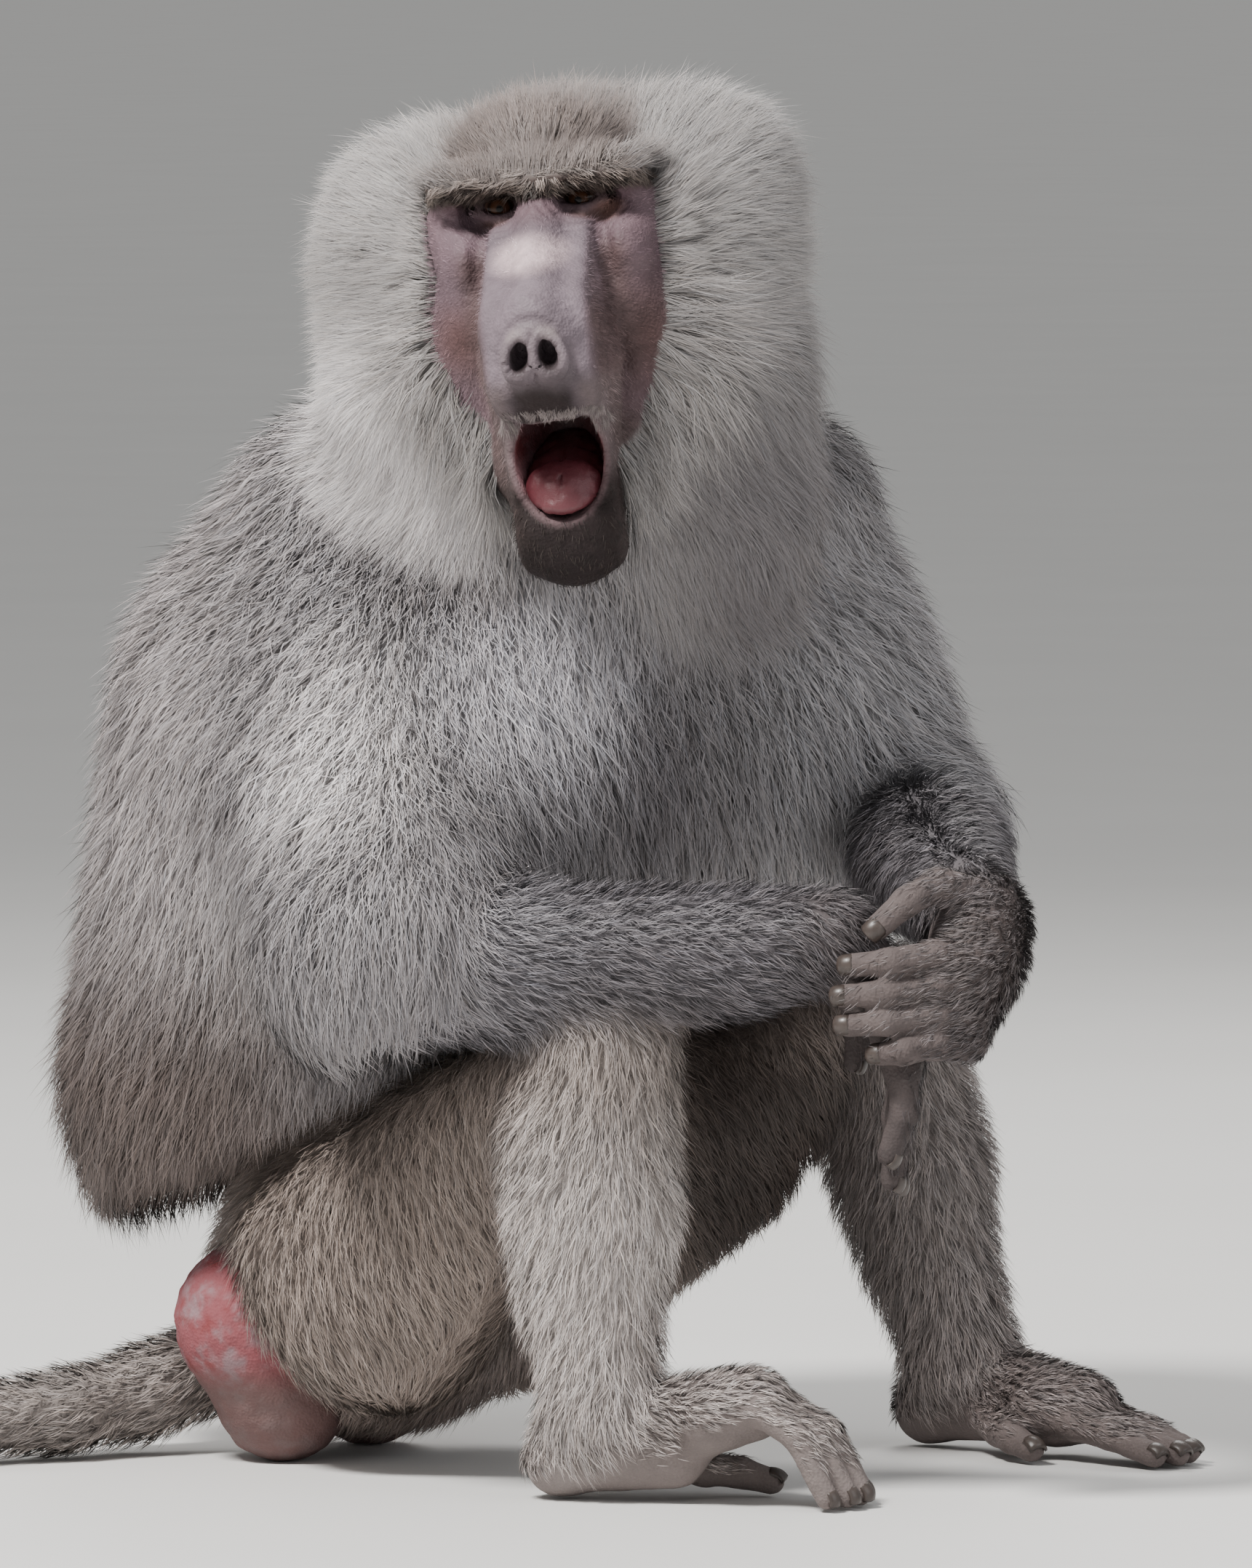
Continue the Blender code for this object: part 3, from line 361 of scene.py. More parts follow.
def foot_lumps(ankle, side):
    f, left = heading({-1: FOOT_R_HEADING, 1: FOOT_L_HEADING}[side])
    inner = left if side < 0 else -left
    a = vec(ankle[0], ankle[1], 0.0)
    up = vec(0, 0, 1)

    def at(forward, inward, z):
        return a + f * forward + inner * inward + up * z

    bent = side < 0
    high = 52 if bent else 27
    l = Lumps()
    l.cone(at(0, 0, 44), at(-24, 0, 20), 27, 20, coat=4)
    l.cone(at(-20, 0, 19), at(40, 0, 24), 20, 21, k=12, coat=4)
    l.cone(at(8, 0, 36), at(82, 0, high), 27, 23, k=14, coat=(6, 4))
    l.cone(at(64, -13, high - 8), at(64, 15, high - 3), 18, 19, k=12, coat=4)
    reach = 64 if bent else 62
    for i, out in enumerate((15, 4.5, -6, -16)):
        long = reach - (4, 0, 3, 10)[i]
        r = (9.2, 9.4, 9.0, 8.4)[i]
        root = at(72, out * 0.95, high - 4)
        k1 = at(92, out * 1.15, high - 1 if bent else 20)
        k2 = at(80 + long * 0.62, out * 1.25, high * 0.72 if bent else 16)
        tip = at(80 + long * (0.92 if bent else 1.15), out * 1.3, r * 0.8)
        digit(l, root, k1, k2, tip, r, bare=1.5)
    digit(l, at(30, 16, 20), at(48, 27, 15), at(64, 37, 12.5), at(80, 41, 8), 9.6, bare=1.5)
    return l


def forearm_lumps(elbow, wrist, side):
    l = Lumps()
    if side < 0:
        l.cone(elbow, along(elbow, wrist, 0.3), 41, 43, coat=9)
        l.cone(along(elbow, wrist, 0.3), wrist, 42, 30, k=14, coat=(9, 6))
        l.cone(along(elbow, wrist, 0.05) + vec(0, 0, -8), along(elbow, wrist, 0.8) + vec(0, 0, -8), 38, 34, k=14, coat=9)
        l.cone(along(elbow, wrist, 0.0) + vec(-10, 0, -4), elbow, 34, 38, k=12, coat=9)
    else:
        l.cone(elbow, along(elbow, wrist, 0.4), 51, 43, coat=(12, 9))
        l.cone(along(elbow, wrist, 0.4), wrist, 43, 31, k=14, coat=(9, 6))
    return l


def hand_right_lumps():
    l = Lumps()
    w = WRIST_R
    l.cone(w, (172, 250, 268), 27, 23, coat=5)
    l.cone((168, 236, 270), (181, 236, 234), 15, 13, k=10, coat=4)
    l.cone((168, 264, 268), (181, 264, 234), 16, 14, k=10, coat=4)
    for i, (d, z1, z2, z3, bow) in enumerate(((229, 238, 205, 178, 2), (243, 240, 204, 169, 3), (257, 238, 206, 172, 1), (270, 232, 208, 186, -1))):
        digit(l, (177, d * 0.7 + 250 * 0.3, 252), (183 + bow, d, z1 - 6), (182 - bow, d, z2), (176 + bow, d, z3), 9.0, bare=1.5)
    digit(l, (156, 226, 280), (158, 218, 262), (160, 215, 246), (158, 214, 230), 8.6, bare=1.5)
    return l


def hand_left_lumps():
    l = Lumps()
    l.cone((222, 238, 304), (212, 262, 282), 31, 25, coat=6)
    l.cone((222, 252, 290), (210, 264, 256), 26, 19, k=12, coat=6)
    l.cone((222, 240, 276), (211, 256, 250), 25, 19, k=12, coat=6)
    for i, (z, far) in enumerate(((293, 155), (277, 151), (262, 153), (247, 170))):
        digit(l, (217, 266, z - 4), (198, 280, z - 3), ((198 + far) / 2 - 2, 287, z - 6), (far, 281, z - 8), 8.3, bare=1.2)
    digit(l, (222, 250, 318), (201, 264, 326), (184, 276, 318), (168, 280, 304), 8.8, bare=1.2)
    return l


def tail_lumps():
    l = Lumps()
    for i in range(len(TAIL) - 1):
        l.cone(TAIL[i], TAIL[i + 1], TAIL_RADIUS[i], TAIL_RADIUS[i + 1], k=10, coat=7)
    return l


def callus_lumps(side):
    f, left = heading(PELVIS_HEADING)
    c = vec(*PELVIS)
    l = Lumps()
    axes = np.stack([left, f, vec(0, 0, 1)])
    l.ball(c - 74 * f + side * 58 * left + vec(0, 0, -33), (46, 46, 45), axes=axes)
    l.ball(c - 66 * f + side * 48 * left + vec(0, 0, -71), (36, 37, 38), k=16, axes=axes)
    return l


def ear_lumps(side):
    l = Lumps(HEAD_AT, HEAD_AXES)
    l.ball((side * 62, -46, -6), (9, 16, 22), k=4)
    l.ball((side * 72, -44, -5), (7, 10, 14), k=3, cut=True)
    return l


PART = {
    "head": head_lumps(),
    "mane": mane_lumps(),
    "cape": cape_lumps(),
    "trunk": trunk_lumps(False),
    "thigh_r": thigh(Lumps(), HIP_R, KNEE_R),
    "thigh_l": thigh(Lumps(), HIP_L, KNEE_L),
    "shin_r": shin_lumps(KNEE_R, ANKLE_R, -1),
    "shin_l": shin_lumps(KNEE_L, ANKLE_L, 1),
    "foot_r": foot_lumps(ANKLE_R, -1),
    "foot_l": foot_lumps(ANKLE_L, 1),
    "fore_r": forearm_lumps(ELBOW_R, WRIST_R, -1),
    "fore_l": forearm_lumps(ELBOW_L, WRIST_L, 1),
    "hand_r": hand_right_lumps(),
    "hand_l": hand_left_lumps(),
    "tail": tail_lumps(),
    "callus_r": callus_lumps(-1),
    "callus_l": callus_lumps(1),
    "ear_r": ear_lumps(-1),
    "ear_l": ear_lumps(1),
}
ORDER = list(PART)
WHOLE = Lumps()
WHOLE.join(trunk_lumps(), k=0)
WHOLE.join(PART["cape"], k=7)
WHOLE.join(PART["mane"], k=34)
for _n, _k in (
    ("shin_r", 10), ("shin_l", 10), ("foot_r", 7), ("foot_l", 7), ("fore_r", 10), ("fore_l", 10), ("hand_r", 5),
    ("hand_l", 2.5), ("tail", 12), ("callus_r", 5), ("callus_l", 5), ("ear_r", 3), ("ear_l", 3),
):
    WHOLE.join(PART[_n], k=_k)
# the head comes last, so that the room of the mouth stays open
_throat = mouth_room(Lumps(HEAD_AT, HEAD_AXES))
WHOLE.join(PART["head"], k=9)
WHOLE.items.extend(_throat.items)
WHOLE.plane((0, 0, 0.4), (0, 0, -1), k=1.5)


# ---------------------------------------------------------------- the skin: a net over the field, only near the surface
def net(lumps, lo, hi, step, bare):
    cells = 8
    size = step * cells
    lo = np.asarray(lo, float)
    n = np.ceil((np.asarray(hi) - lo) / size).astype(int)
    block = np.stack(np.meshgrid(*[np.arange(k) for k in n], indexing="ij"), -1).reshape(-1, 3)
    near = np.abs(lumps.at_points(lo + (block + 0.5) * size, bare, reach=60)) < size * 0.87 + 9
    block = block[near]
    grid = np.stack(np.meshgrid(*[np.arange(cells + 1)] * 3, indexing="ij"), -1).reshape(-1, 3)
    offset = (grid - cells / 2) * step
    big = n * cells + 1
    corner = np.array([(c & 1, c >> 1 & 1, c >> 2 & 1) for c in range(8)])
    pairs = [(a, b) for a in range(8) for b in range(a + 1, 8) if bin(a ^ b).count("1") == 1]
    ids, points, quads = [], [], []
    for s in range(0, len(block), 400):
        b = block[s : s + 400]
        v = lumps.value(lo + (b + 0.5) * size, offset, bare).reshape(len(b), *[cells + 1] * 3)
        inside = v < 0
        count = sum(inside[:, i : i + cells, j : j + cells, k : k + cells].astype(np.int8) for i, j, k in corner)
        at = np.argwhere((count > 0) & (count < 8))
        if len(at):
            value = np.stack([v[at[:, 0], at[:, 1] + c[0], at[:, 2] + c[1], at[:, 3] + c[2]] for c in corner], 1)
            total, number = np.zeros((len(at), 3)), np.zeros(len(at))
            for p, q in pairs:
                a, c = value[:, p], value[:, q]
                cross = (a < 0) != (c < 0)
                t = np.where(cross, a / np.where(cross, a - c, 1), 0)
                total += np.where(cross[:, None], corner[p] + (corner[q] - corner[p]) * t[:, None], 0)
                number += cross
            g = b[at[:, 0]] * cells + at[:, 1:]
            ids.append((g[:, 0] * big[1] + g[:, 1]) * big[2] + g[:, 2])
            points.append(lo + step * (g + total / number[:, None]))
        for axis in range(3):
            far = [slice(0, cells)] * 3
            far[axis] = slice(1, cells + 1)
            a, c = inside[:, :cells, :cells, :cells], inside[(slice(None), *far)]
            at = np.argwhere(a != c)
            if not len(at):
                continue
            g = b[at[:, 0]] * cells + at[:, 1:]
            out = a[tuple(at.T)]
            e1, e2 = np.eye(3, dtype=int)[(axis + 1) % 3], np.eye(3, dtype=int)[(axis + 2) % 3]
            four = [g - e1 - e2, g - e2, g, g - e1]
            four = np.stack([(q[:, 0] * big[1] + q[:, 1]) * big[2] + q[:, 2] for q in four], 1)
            four[~out] = four[~out][:, ::-1]
            quads.append(four)
    ids, points, quads = np.concatenate(ids), np.concatenate(points), np.concatenate(quads)
    order = np.argsort(ids)
    ids, points = ids[order], points[order]
    index = np.minimum(np.searchsorted(ids, quads), len(ids) - 1)
    return points, index[(ids[index] == quads).all(1)]


def edges_of(faces):
    k = faces.shape[1]
    e = np.concatenate([np.stack([faces[:, i], faces[:, (i + 1) % k]], 1) for i in range(k)])
    e.sort(axis=1)
    return np.unique(e, axis=0)


def relax(p, edges, share):
    n = len(p)
    deg = np.bincount(edges.ravel(), minlength=n)
    mean = np.stack([np.bincount(edges[:, 0], p[edges[:, 1], i], n) + np.bincount(edges[:, 1], p[edges[:, 0], i], n) for i in range(3)], 1)
    return p + share * (mean / np.maximum(deg, 1)[:, None] - p)


def on_field(lumps, p, bare, most=2.5):
    f, g = lumps.slope(p, bare)
    move = -f / np.maximum((g * g).sum(1), 0.2)
    return p + np.clip(move, -most, most)[:, None] * g


def refine(p, t, mark):
    """Halves every edge of the marked triangles, with the neighbours closed to match."""
    e = np.sort(np.concatenate([t[:, [0, 1]], t[:, [1, 2]], t[:, [2, 0]]]), axis=1)
    unique, index = np.unique(e[:, 0].astype(np.int64) * len(p) + e[:, 1], return_inverse=True)
    index = index.reshape(3, -1).T
    split = np.zeros(len(unique), bool)
    split[index[mark].ravel()] = True
    number = np.cumsum(split) - 1 + len(p)
    a, b = unique // len(p), unique % len(p)
    mid = (p[a[split]] + p[b[split]]) / 2
    s = split[index]
    kind = s.sum(1)
    out = [t[kind == 0]]
    for k in (1, 2):
        for r in range(3):
            want = [(r + i) % 3 for i in range(3)]
            rows = np.nonzero((kind == k) & s[:, want[0]] & (s[:, want[1]] if k == 2 else True) & ~s[:, want[2]])[0] if k == 2 else np.nonzero((kind == 1) & s[:, want[0]])[0]
            if not len(rows):
                continue
            v = t[rows][:, want]
            m = number[index[rows][:, want]]
            if k == 1:
                out += [np.stack([v[:, 0], m[:, 0], v[:, 2]], 1), np.stack([m[:, 0], v[:, 1], v[:, 2]], 1)]
            else:
                out += [np.stack([v[:, 0], m[:, 0], v[:, 2]], 1), np.stack([m[:, 0], m[:, 1], v[:, 2]], 1), np.stack([m[:, 0], v[:, 1], m[:, 1]], 1)]
    rows = kind == 3
    v, m = t[rows], number[index[rows]]
    out += [np.stack([v[:, 0], m[:, 0], m[:, 2]], 1), np.stack([m[:, 0], v[:, 1], m[:, 1]], 1), np.stack([m[:, 2], m[:, 1], v[:, 2]], 1), m]
    return np.concatenate([p, mid]), np.concatenate(out)


def vertex_normals(p, t):
    n = np.cross(p[t[:, 1]] - p[t[:, 0]], p[t[:, 2]] - p[t[:, 0]])
    out = np.stack([sum(np.bincount(t[:, k], n[:, i], len(p)) for k in range(3)) for i in range(3)], 1)
    return unit(out)


def noise(p, scale, seed=0):
    """Smooth noise, -1 to 1, with features about scale mm across."""
    q = np.asarray(p) / scale + 37.3 * seed
    i = np.floor(q).astype(np.int64)
    f = q - i
    f = f * f * (3 - 2 * f)
    out = np.zeros(len(q))
    for c in range(8):
        o = np.array([c & 1, c >> 1 & 1, c >> 2 & 1])
        h = i + o
        k = (h[:, 0] * 73856093) ^ (h[:, 1] * 19349663) ^ (h[:, 2] * 83492791) ^ (seed * 2654435761)
        k = (k ^ (k >> 13)) * 1274126177
        r = ((k ^ (k >> 16)) & 0xFFFF) / 32767.5 - 1
        w = np.prod(np.where(o == 1, f, 1 - f), axis=1)
        out += r * w
    return out


def step_up(x, a, b):
    t = np.clip((x - a) / (b - a), 0, 1)
    return t * t * (3 - 2 * t)


def near(p, c, r):
    """1 at c, falling to 0 at distance r."""
    return 1 - step_up(np.linalg.norm((p - vec(*c)) / np.asarray(r, float), axis=1), 0.25, 1.0)


def mix(a, b, t):
    return a * (1 - t[:, None]) + np.asarray(b, float) * t[:, None]


def shares(p, bare=1.0, soft=5.0):
    """How much each part has of each point, summing to 1."""
    f = np.stack([PART[n].at_points(p, bare) for n in ORDER], 1)
    f -= f.min(1, keepdims=True)
    w = np.exp(-f / soft)
    return w / w.sum(1, keepdims=True)


def share_of(w, *names):
    return sum(w[:, ORDER.index(n)] for n in names)


PF, PLEFT = heading(PELVIS_HEADING)
CALLUS_AT = {s: vec(*PELVIS) - 76 * PF + s * 56 * PLEFT + vec(0, 0, -40) for s in (-1, 1)}


def bare_share(p, w):
    """1 where the skin shows: the face with the inside of the mouth, and the seat pads."""
    h = to_head(p)
    x, y, z = h.T
    head = share_of(w, "head", "ear_r", "ear_l")
    ax = np.abs(x + 3)
    # the mask's edge: the brow line above, the cheeks at the sides, the throat below
    back = -34 + 10 * step_up(z, -40, 0) + 18 * step_up(-z, 105, 150)
    face = step_up(y, back - 7, back + 7) * (1 - step_up(z, 3, 8))
    wide = 64 - 9 * step_up(-z, 72, 100) - np.where(x > 0, 9, 17) * step_up(-z, 98, 122) - np.where(x > 0, 10, 0) * step_up(-z, 122, 146)
    face *= 1 - step_up(ax, wide - 3, wide + 3)
    bare = head * face
    pads = share_of(w, "callus_r", "callus_l")
    bare = np.maximum(bare, step_up(pads, 0.35, 0.6))
    return bare


def coat_colour(p, w):
    """The markings, with painted light and shade on the ruff, chest, upper arm, belly, inner thighs, shins and feet,
    shared by skin and coat: linear colour for each point.
    """
    u, d, z = p.T
    h = to_head(p)
    ruff = np.tile(vec(0.320, 0.302, 0.298), (len(p), 1))
    # painted light: the lower ruff lighter on the side of negative x, as if sunlit; painted shade: darker on the other
    # side, below the cheek
    ruff = mix(ruff, (0.60, 0.565, 0.565), step_up(-h[:, 2], 50, 100) * step_up(-h[:, 0], 20, 70))
    ruff = mix(ruff, (0.17, 0.155, 0.162), 0.8 * step_up(-h[:, 2], 45, 150) * step_up(h[:, 0], 0, 70))
    ruff = mix(ruff, (0.27, 0.24, 0.235), step_up(-h[:, 1], 70, 150))
    top = step_up(h[:, 2], 14, 46) * (1 - step_up(np.abs(h[:, 0]), 34, 92))
    ruff = mix(ruff, (0.175, 0.147, 0.138), 0.9 * top)
    cape = np.tile(vec(0.270, 0.252, 0.260), (len(p), 1))
    # painted light: a sunlit patch on the right upper arm
    cape = mix(cape, (0.72, 0.675, 0.68), 0.88 * near(p, (-108, 150, 385), (62, 120, 92)))
    cape = mix(cape, (0.46, 0.43, 0.43), 0.6 * near(p, (-165, 120, 290), (60, 120, 70)))
    # painted light on the middle of the chest, and painted shade under the ruff's lobe above it
    cape = mix(cape, (0.60, 0.575, 0.61), 0.85 * near(p, (-12, 140, 425), (84, 110, 78)))
    cape = mix(cape, (0.17, 0.153, 0.160), 0.7 * near(p, (-54, 150, 492), (60, 90, 40)))
    cape = mix(cape, (0.42, 0.380, 0.380), 0.75 * step_up(-u - 0.5 * d, 60, 180))
    cape = mix(cape, (0.215, 0.180, 0.172), 0.85 * step_up(-d, -20, 70))
    cape = mix(cape, (0.098, 0.075, 0.067), 0.92 * step_up(-z, -345, -215) * step_up(-u - 0.3 * d, 40, 150))
    cape = mix(cape, (0.40, 0.385, 0.398), 0.75 * step_up(u, 80, 130) * (1 - step_up(z, 470, 570)))
    # painted shade under the ruff, on the other side of the chest
    cape = mix(cape, (0.17, 0.155, 0.165), 0.6 * near(p, (52, 150, 380), (34, 110, 70)))
    haunch = np.tile(vec(0.275, 0.225, 0.205), (len(p), 1))
    haunch = mix(haunch, (0.40, 0.36, 0.34), near(p, CALLUS_AT[-1] + vec(-14, 0, 40), (60, 90, 80)) * 0.5)
    # painted shade between the legs: the belly and the inner thighs darkened nearly to black
    inner = step_up(share_of(w, "trunk", "thigh_r", "thigh_l"), 0.2, 0.5) * step_up(u + 0.45 * d, 30, 80) * step_up(-z, -260, -200) * (1 - step_up(d, 150, 190))
    dark = np.maximum(inner, 0) * (1 - 0.25 * step_up(share_of(w, "thigh_l"), 0.6, 0.95))
    haunch = mix(haunch, (0.020, 0.014, 0.013), np.clip(1.15 * dark, 0, 1))
    thigh_c = mix(np.tile(vec(0.285, 0.232, 0.205), (len(p), 1)), (0.028, 0.020, 0.018), np.clip(1.1 * dark, 0, 1))
    # painted light and shade: the right shin and foot lighter, as if sunlit, the left shin and foot darker, as if in
    # shade; the right shin darker towards the knee
    shin = np.tile(vec(0.50, 0.448, 0.428), (len(p), 1))
    shin = mix(shin, (0.34, 0.296, 0.276), step_up(z, 150, 250))
    shin_l = np.tile(vec(0.225, 0.197, 0.190), (len(p), 1))
    foot = np.tile(vec(0.36, 0.315, 0.300), (len(p), 1))
    foot_l = np.tile(vec(0.19, 0.16, 0.155), (len(p), 1))
    fore = np.tile(vec(0.128, 0.118, 0.128), (len(p), 1))
    fore = mix(fore, (0.18, 0.170, 0.185), step_up(-u, -50, 50))
    fore = mix(fore, (0.075, 0.068, 0.075), step_up(u, 105, 155))
    fore_l = mix(np.tile(vec(0.120, 0.111, 0.120), (len(p), 1)), (0.30, 0.290, 0.310), near(p, ELBOW_L, (100, 110, 110)))
    hand = mix(np.tile(vec(0.13, 0.112, 0.112), (len(p), 1)), (0.070, 0.060, 0.062), 1 - step_up(z, 235, 262))
    tail = np.tile(vec(0.31, 0.272, 0.255), (len(p), 1))
    crown = np.tile(vec(0.150, 0.124, 0.116), (len(p), 1))
    crown = mix(crown, (0.31, 0.288, 0.282), np.maximum(step_up(np.abs(h[:, 0]), 30, 70), step_up(-h[:, 2], -6, 16)))
    pad = np.tile(vec(0.30, 0.25, 0.23), (len(p), 1))
    table = {
        "head": crown, "mane": ruff, "cape": cape, "trunk": haunch, "thigh_r": thigh_c, "thigh_l": thigh_c, "shin_r": shin,
        "shin_l": shin_l, "foot_r": foot, "foot_l": foot_l, "fore_r": fore, "fore_l": fore_l, "hand_r": hand, "hand_l": hand,
        "tail": tail, "callus_r": pad, "callus_l": pad, "ear_r": ruff, "ear_l": ruff,
    }
    out = np.zeros((len(p), 3))
    for i, n in enumerate(ORDER):
        out += table[n] * w[:, i : i + 1]
    patch = noise(p, 46, 3) * 0.10 + noise(p, 19, 4) * 0.08
    return np.clip(out * (1 + patch[:, None]), 0.004, 0.95)


def skin_colour(p, w, bare):
    """Colour and gloss of the skin, with painted light and shade on the face and in the mouth. Under the coat it is the
    coat's colour, darker.
    """
    h = to_head(p)
    x, y, z = h.T
    ax = np.abs(x)
    c = np.tile(vec(0.122, 0.081, 0.094), (len(p), 1))
    c = mix(c, (0.140, 0.102, 0.124), 0.75 * near(h, (-42, -20, -40), (24, 44, 44)))
    c = mix(c, (0.078, 0.038, 0.034), 0.85 * near(h, (-46, -16, -74), (26, 60, 30)))
    c = mix(c, (0.062, 0.033, 0.030), 0.9 * near(h, (48, -16, -80), (30, 60, 46)))
    # painted shade on the sides of the muzzle and painted light on its flat top; a painted highlight along the muzzle's
    # top and on the bridge between the eyes
    c = mix(c, (0.082, 0.052, 0.050), 0.8 * step_up(ax, 25, 32) * (1 - step_up(ax, 38, 50)) * step_up(y, -12, 20) * step_up(-z, 24, 38))
    c = mix(c, (0.165, 0.132, 0.153), 0.9 * (1 - step_up(ax, 24, 31)) * step_up(y, -6, 12) * step_up(-z, 10, 26))
    c = mix(c, (0.62, 0.47, 0.49), near(h, (-3, 42, -34), (27, 74, 15)) * (0.85 + 0.15 * noise(p, 3.0, 5)))
    c = mix(c, (0.42, 0.31, 0.30), 0.8 * near(h, (0, 6, -12), (5, 14, 14)))
    c = mix(c, (0.30, 0.165, 0.125), 0.55 * near(h, (35, -8, -15), (13, 26, 9)))
    c = mix(c, (0.40, 0.31, 0.30), 0.55 * near(h, (46, -14, -44), (14, 30, 12)) * (0.7 + 0.5 * noise(p, 4.0, 15)))
    disc = np.sqrt((x / 19) ** 2 + ((z + 89.5) / 22.5) ** 2)
    c = mix(c, (0.150, 0.120, 0.132), 0.7 * (1 - step_up(disc, 0.9, 1.15)) * step_up(y, 60, 76))
    c = mix(c, (0.014, 0.008, 0.0075), 0.94 * step_up(-z + 2.5 * noise(p, 7, 18), 89, 108) * (1 - step_up(ax + 2 * noise(p, 6, 19), 10, 28)) * step_up(y, 40, 60))
    c = mix(c, (0.115, 0.088, 0.088), 0.8 * step_up(-z, 92, 106) * step_up(ax, 14, 24) * step_up(y, 16, 40))
    c = mix(c, (0.012, 0.007, 0.0065), 0.96 * step_up(-z, 136, 158))
    c = mix(c, (0.085, 0.060, 0.058), 0.7 * step_up(-z, 112, 130) * step_up(ax, 22, 34))
    for s in (-1, 1):
        e = vec(s * EYE_APART / 2, -2, EYE_Z)
        # painted shade in the socket under the brow
        c = mix(c, (0.022, 0.013, 0.011), 0.97 * near(h, e + vec(s * 1, 0, 4), (23, 32, 12.5)))
        c = mix(c, (0.085, 0.050, 0.045), 0.8 * near(h, e + vec(0, 0, -9.5), (18, 20, 5)))
        # the nostrils painted nearly black: painted shade in the holes
        c = mix(c, (0.010, 0.006, 0.006), near(h, (s * 7.6, 92, -86), (8.4, 12, 13.4)))
        c = mix(c, (0.23, 0.19, 0.19), 0.55 * near(h, (s * 11, 98, -72), (11, 9, 7)))
    # painted shade under the brow, and between the eyes
    c = mix(c, (0.030, 0.019, 0.016), 0.95 * step_up(z, -8, -2) * (1 - step_up(y, 18, 24)))
    inner = near(h, (0, 4, 0), (14, 22, 12))
    c = mix(c, (0.028, 0.018, 0.015), 0.9 * inner * step_up(z, -8, -2))
    c = c * (1 + 0.13 * noise(p, 15, 16) + 0.08 * noise(p, 9, 17))[:, None]
    # the mouth: red within, darker towards the top, and darker towards the back, painted shade of its depth; a pale
    # lilac band inside the lower lip
    tilt = math.radians(-20)
    m = (h - vec(0, 42, -142)) @ np.array([[1, 0, 0], [0, math.cos(tilt), math.sin(tilt)], [0, -math.sin(tilt), math.cos(tilt)]]).T
    k = np.sqrt((m[:, 0] / 23) ** 2 + (m[:, 1] / 58) ** 2 + (m[:, 2] / 27.5) ** 2)
    within = (1 - step_up(k, 1.0, 1.06)) * share_of(w, "head")
    painted_depth_shade = step_up(-y, -38, 4)
    c = mix(c, (0.30, 0.17, 0.185), within)
    c = mix(c, (0.11, 0.028, 0.032), within * step_up(z, -152, -132))
    c = mix(c, (0.085, 0.015, 0.018), within * painted_depth_shade)
    c = mix(c, (0.02, 0.006, 0.006), within * step_up(-y, -8, 18))
    c = mix(c, (0.15, 0.098, 0.105), 0.7 * (1 - within) * (1 - step_up(k, 1.06, 1.22)) * step_up(y, 10, 26))
    mottled = 1 + 0.10 * noise(p, 7, 6) + 0.09 * noise(p, 2.2, 7)
    c = c * mottled[:, None]
    gloss = 0.62 + 0.14 * step_up(-z, 96, 112) - 0.08 * near(h, (0, 60, -70), (40, 60, 50)) - 0.28 * within
    # seat pads: pink-red, scaly grey-white patches
    pads = step_up(share_of(w, "callus_r", "callus_l"), 0.35, 0.65)
    pink = np.tile(vec(0.245, 0.078, 0.088), (len(p), 1))
    scaly = step_up(0.7 * noise(p, 15, 8) + 0.6 * noise(p, 6, 9) + 0.5 * noise(p, 2.6, 10), -0.25, 0.75)
    pink = mix(pink, (0.27, 0.195, 0.212), 0.8 * scaly)
    pink = mix(pink, (0.20, 0.035, 0.035), 0.6 * step_up(noise(p * vec(1, 1, 2.4), 9, 11), 0.2, 0.7))
    pink = mix(pink, (0.125, 0.088, 0.082), 0.85 * step_up(-p[:, 2], -62, -36))
    c = c * (1 - pads[:, None]) + pink * pads[:, None]
    gloss = gloss + 0.08 * pads
    hands = share_of(w, "hand_r", "hand_l", "foot_r", "foot_l")
    dark = np.tile(vec(0.105, 0.082, 0.078), (len(p), 1)) * (1 + 0.22 * noise(p, 5, 12) - 0.42 * step_up(w[:, ORDER.index("hand_r")], 0.4, 0.8))[:, None]
    c = c * (1 - hands[:, None]) + dark * hands[:, None]
    under = coat_colour(p, w) * 0.88
    cover = np.clip(1 - bare, 0, 1) * (1 - 0.65 * hands)
    out = c * (1 - cover[:, None]) + under * cover[:, None]
    return np.clip(out, 0.002, 0.95), np.clip(gloss * (1 - cover) + 0.85 * cover, 0.2, 0.95)


def make_object(name, p_row, faces, flip=True):
    """A mesh from points and an array of faces, or a list of such arrays."""
    groups = faces if isinstance(faces, list) else [faces]
    groups = [g[:, ::-1] if flip else g for g in groups]
    mesh = bpy.data.meshes.new(name)
    mesh.vertices.add(len(p_row))
    mesh.vertices.foreach_set("co", np.ascontiguousarray(p_row, dtype=F32).ravel())
    loops = np.concatenate([g.ravel() for g in groups]).astype(np.int32)
    sizes = np.concatenate([np.full(len(g), g.shape[1], np.int32) for g in groups])
    starts = np.concatenate([[0], np.cumsum(sizes)[:-1]]).astype(np.int32)
    mesh.loops.add(len(loops))
    mesh.loops.foreach_set("vertex_index", loops)
    mesh.polygons.add(len(sizes))
    mesh.polygons.foreach_set("loop_start", starts)
    mesh.polygons.foreach_set("use_smooth", np.ones(len(sizes), bool))
    mesh.update(calc_edges=True)
    ob = bpy.data.objects.new(name, mesh)
    bpy.context.scene.collection.objects.link(ob)
    return ob


def attribute(ob, name, kind, values):
    a = ob.data.attributes.new(name, kind, "POINT")
    values = np.asarray(values, F32)
    if kind == "FLOAT_COLOR":
        values = np.concatenate([values, np.ones((len(values), 1), F32)], 1)
        a.data.foreach_set("color", values.ravel())
    elif kind == "FLOAT_VECTOR":
        a.data.foreach_set("vector", values.ravel())
    else:
        a.data.foreach_set("value", values.ravel())
    return a


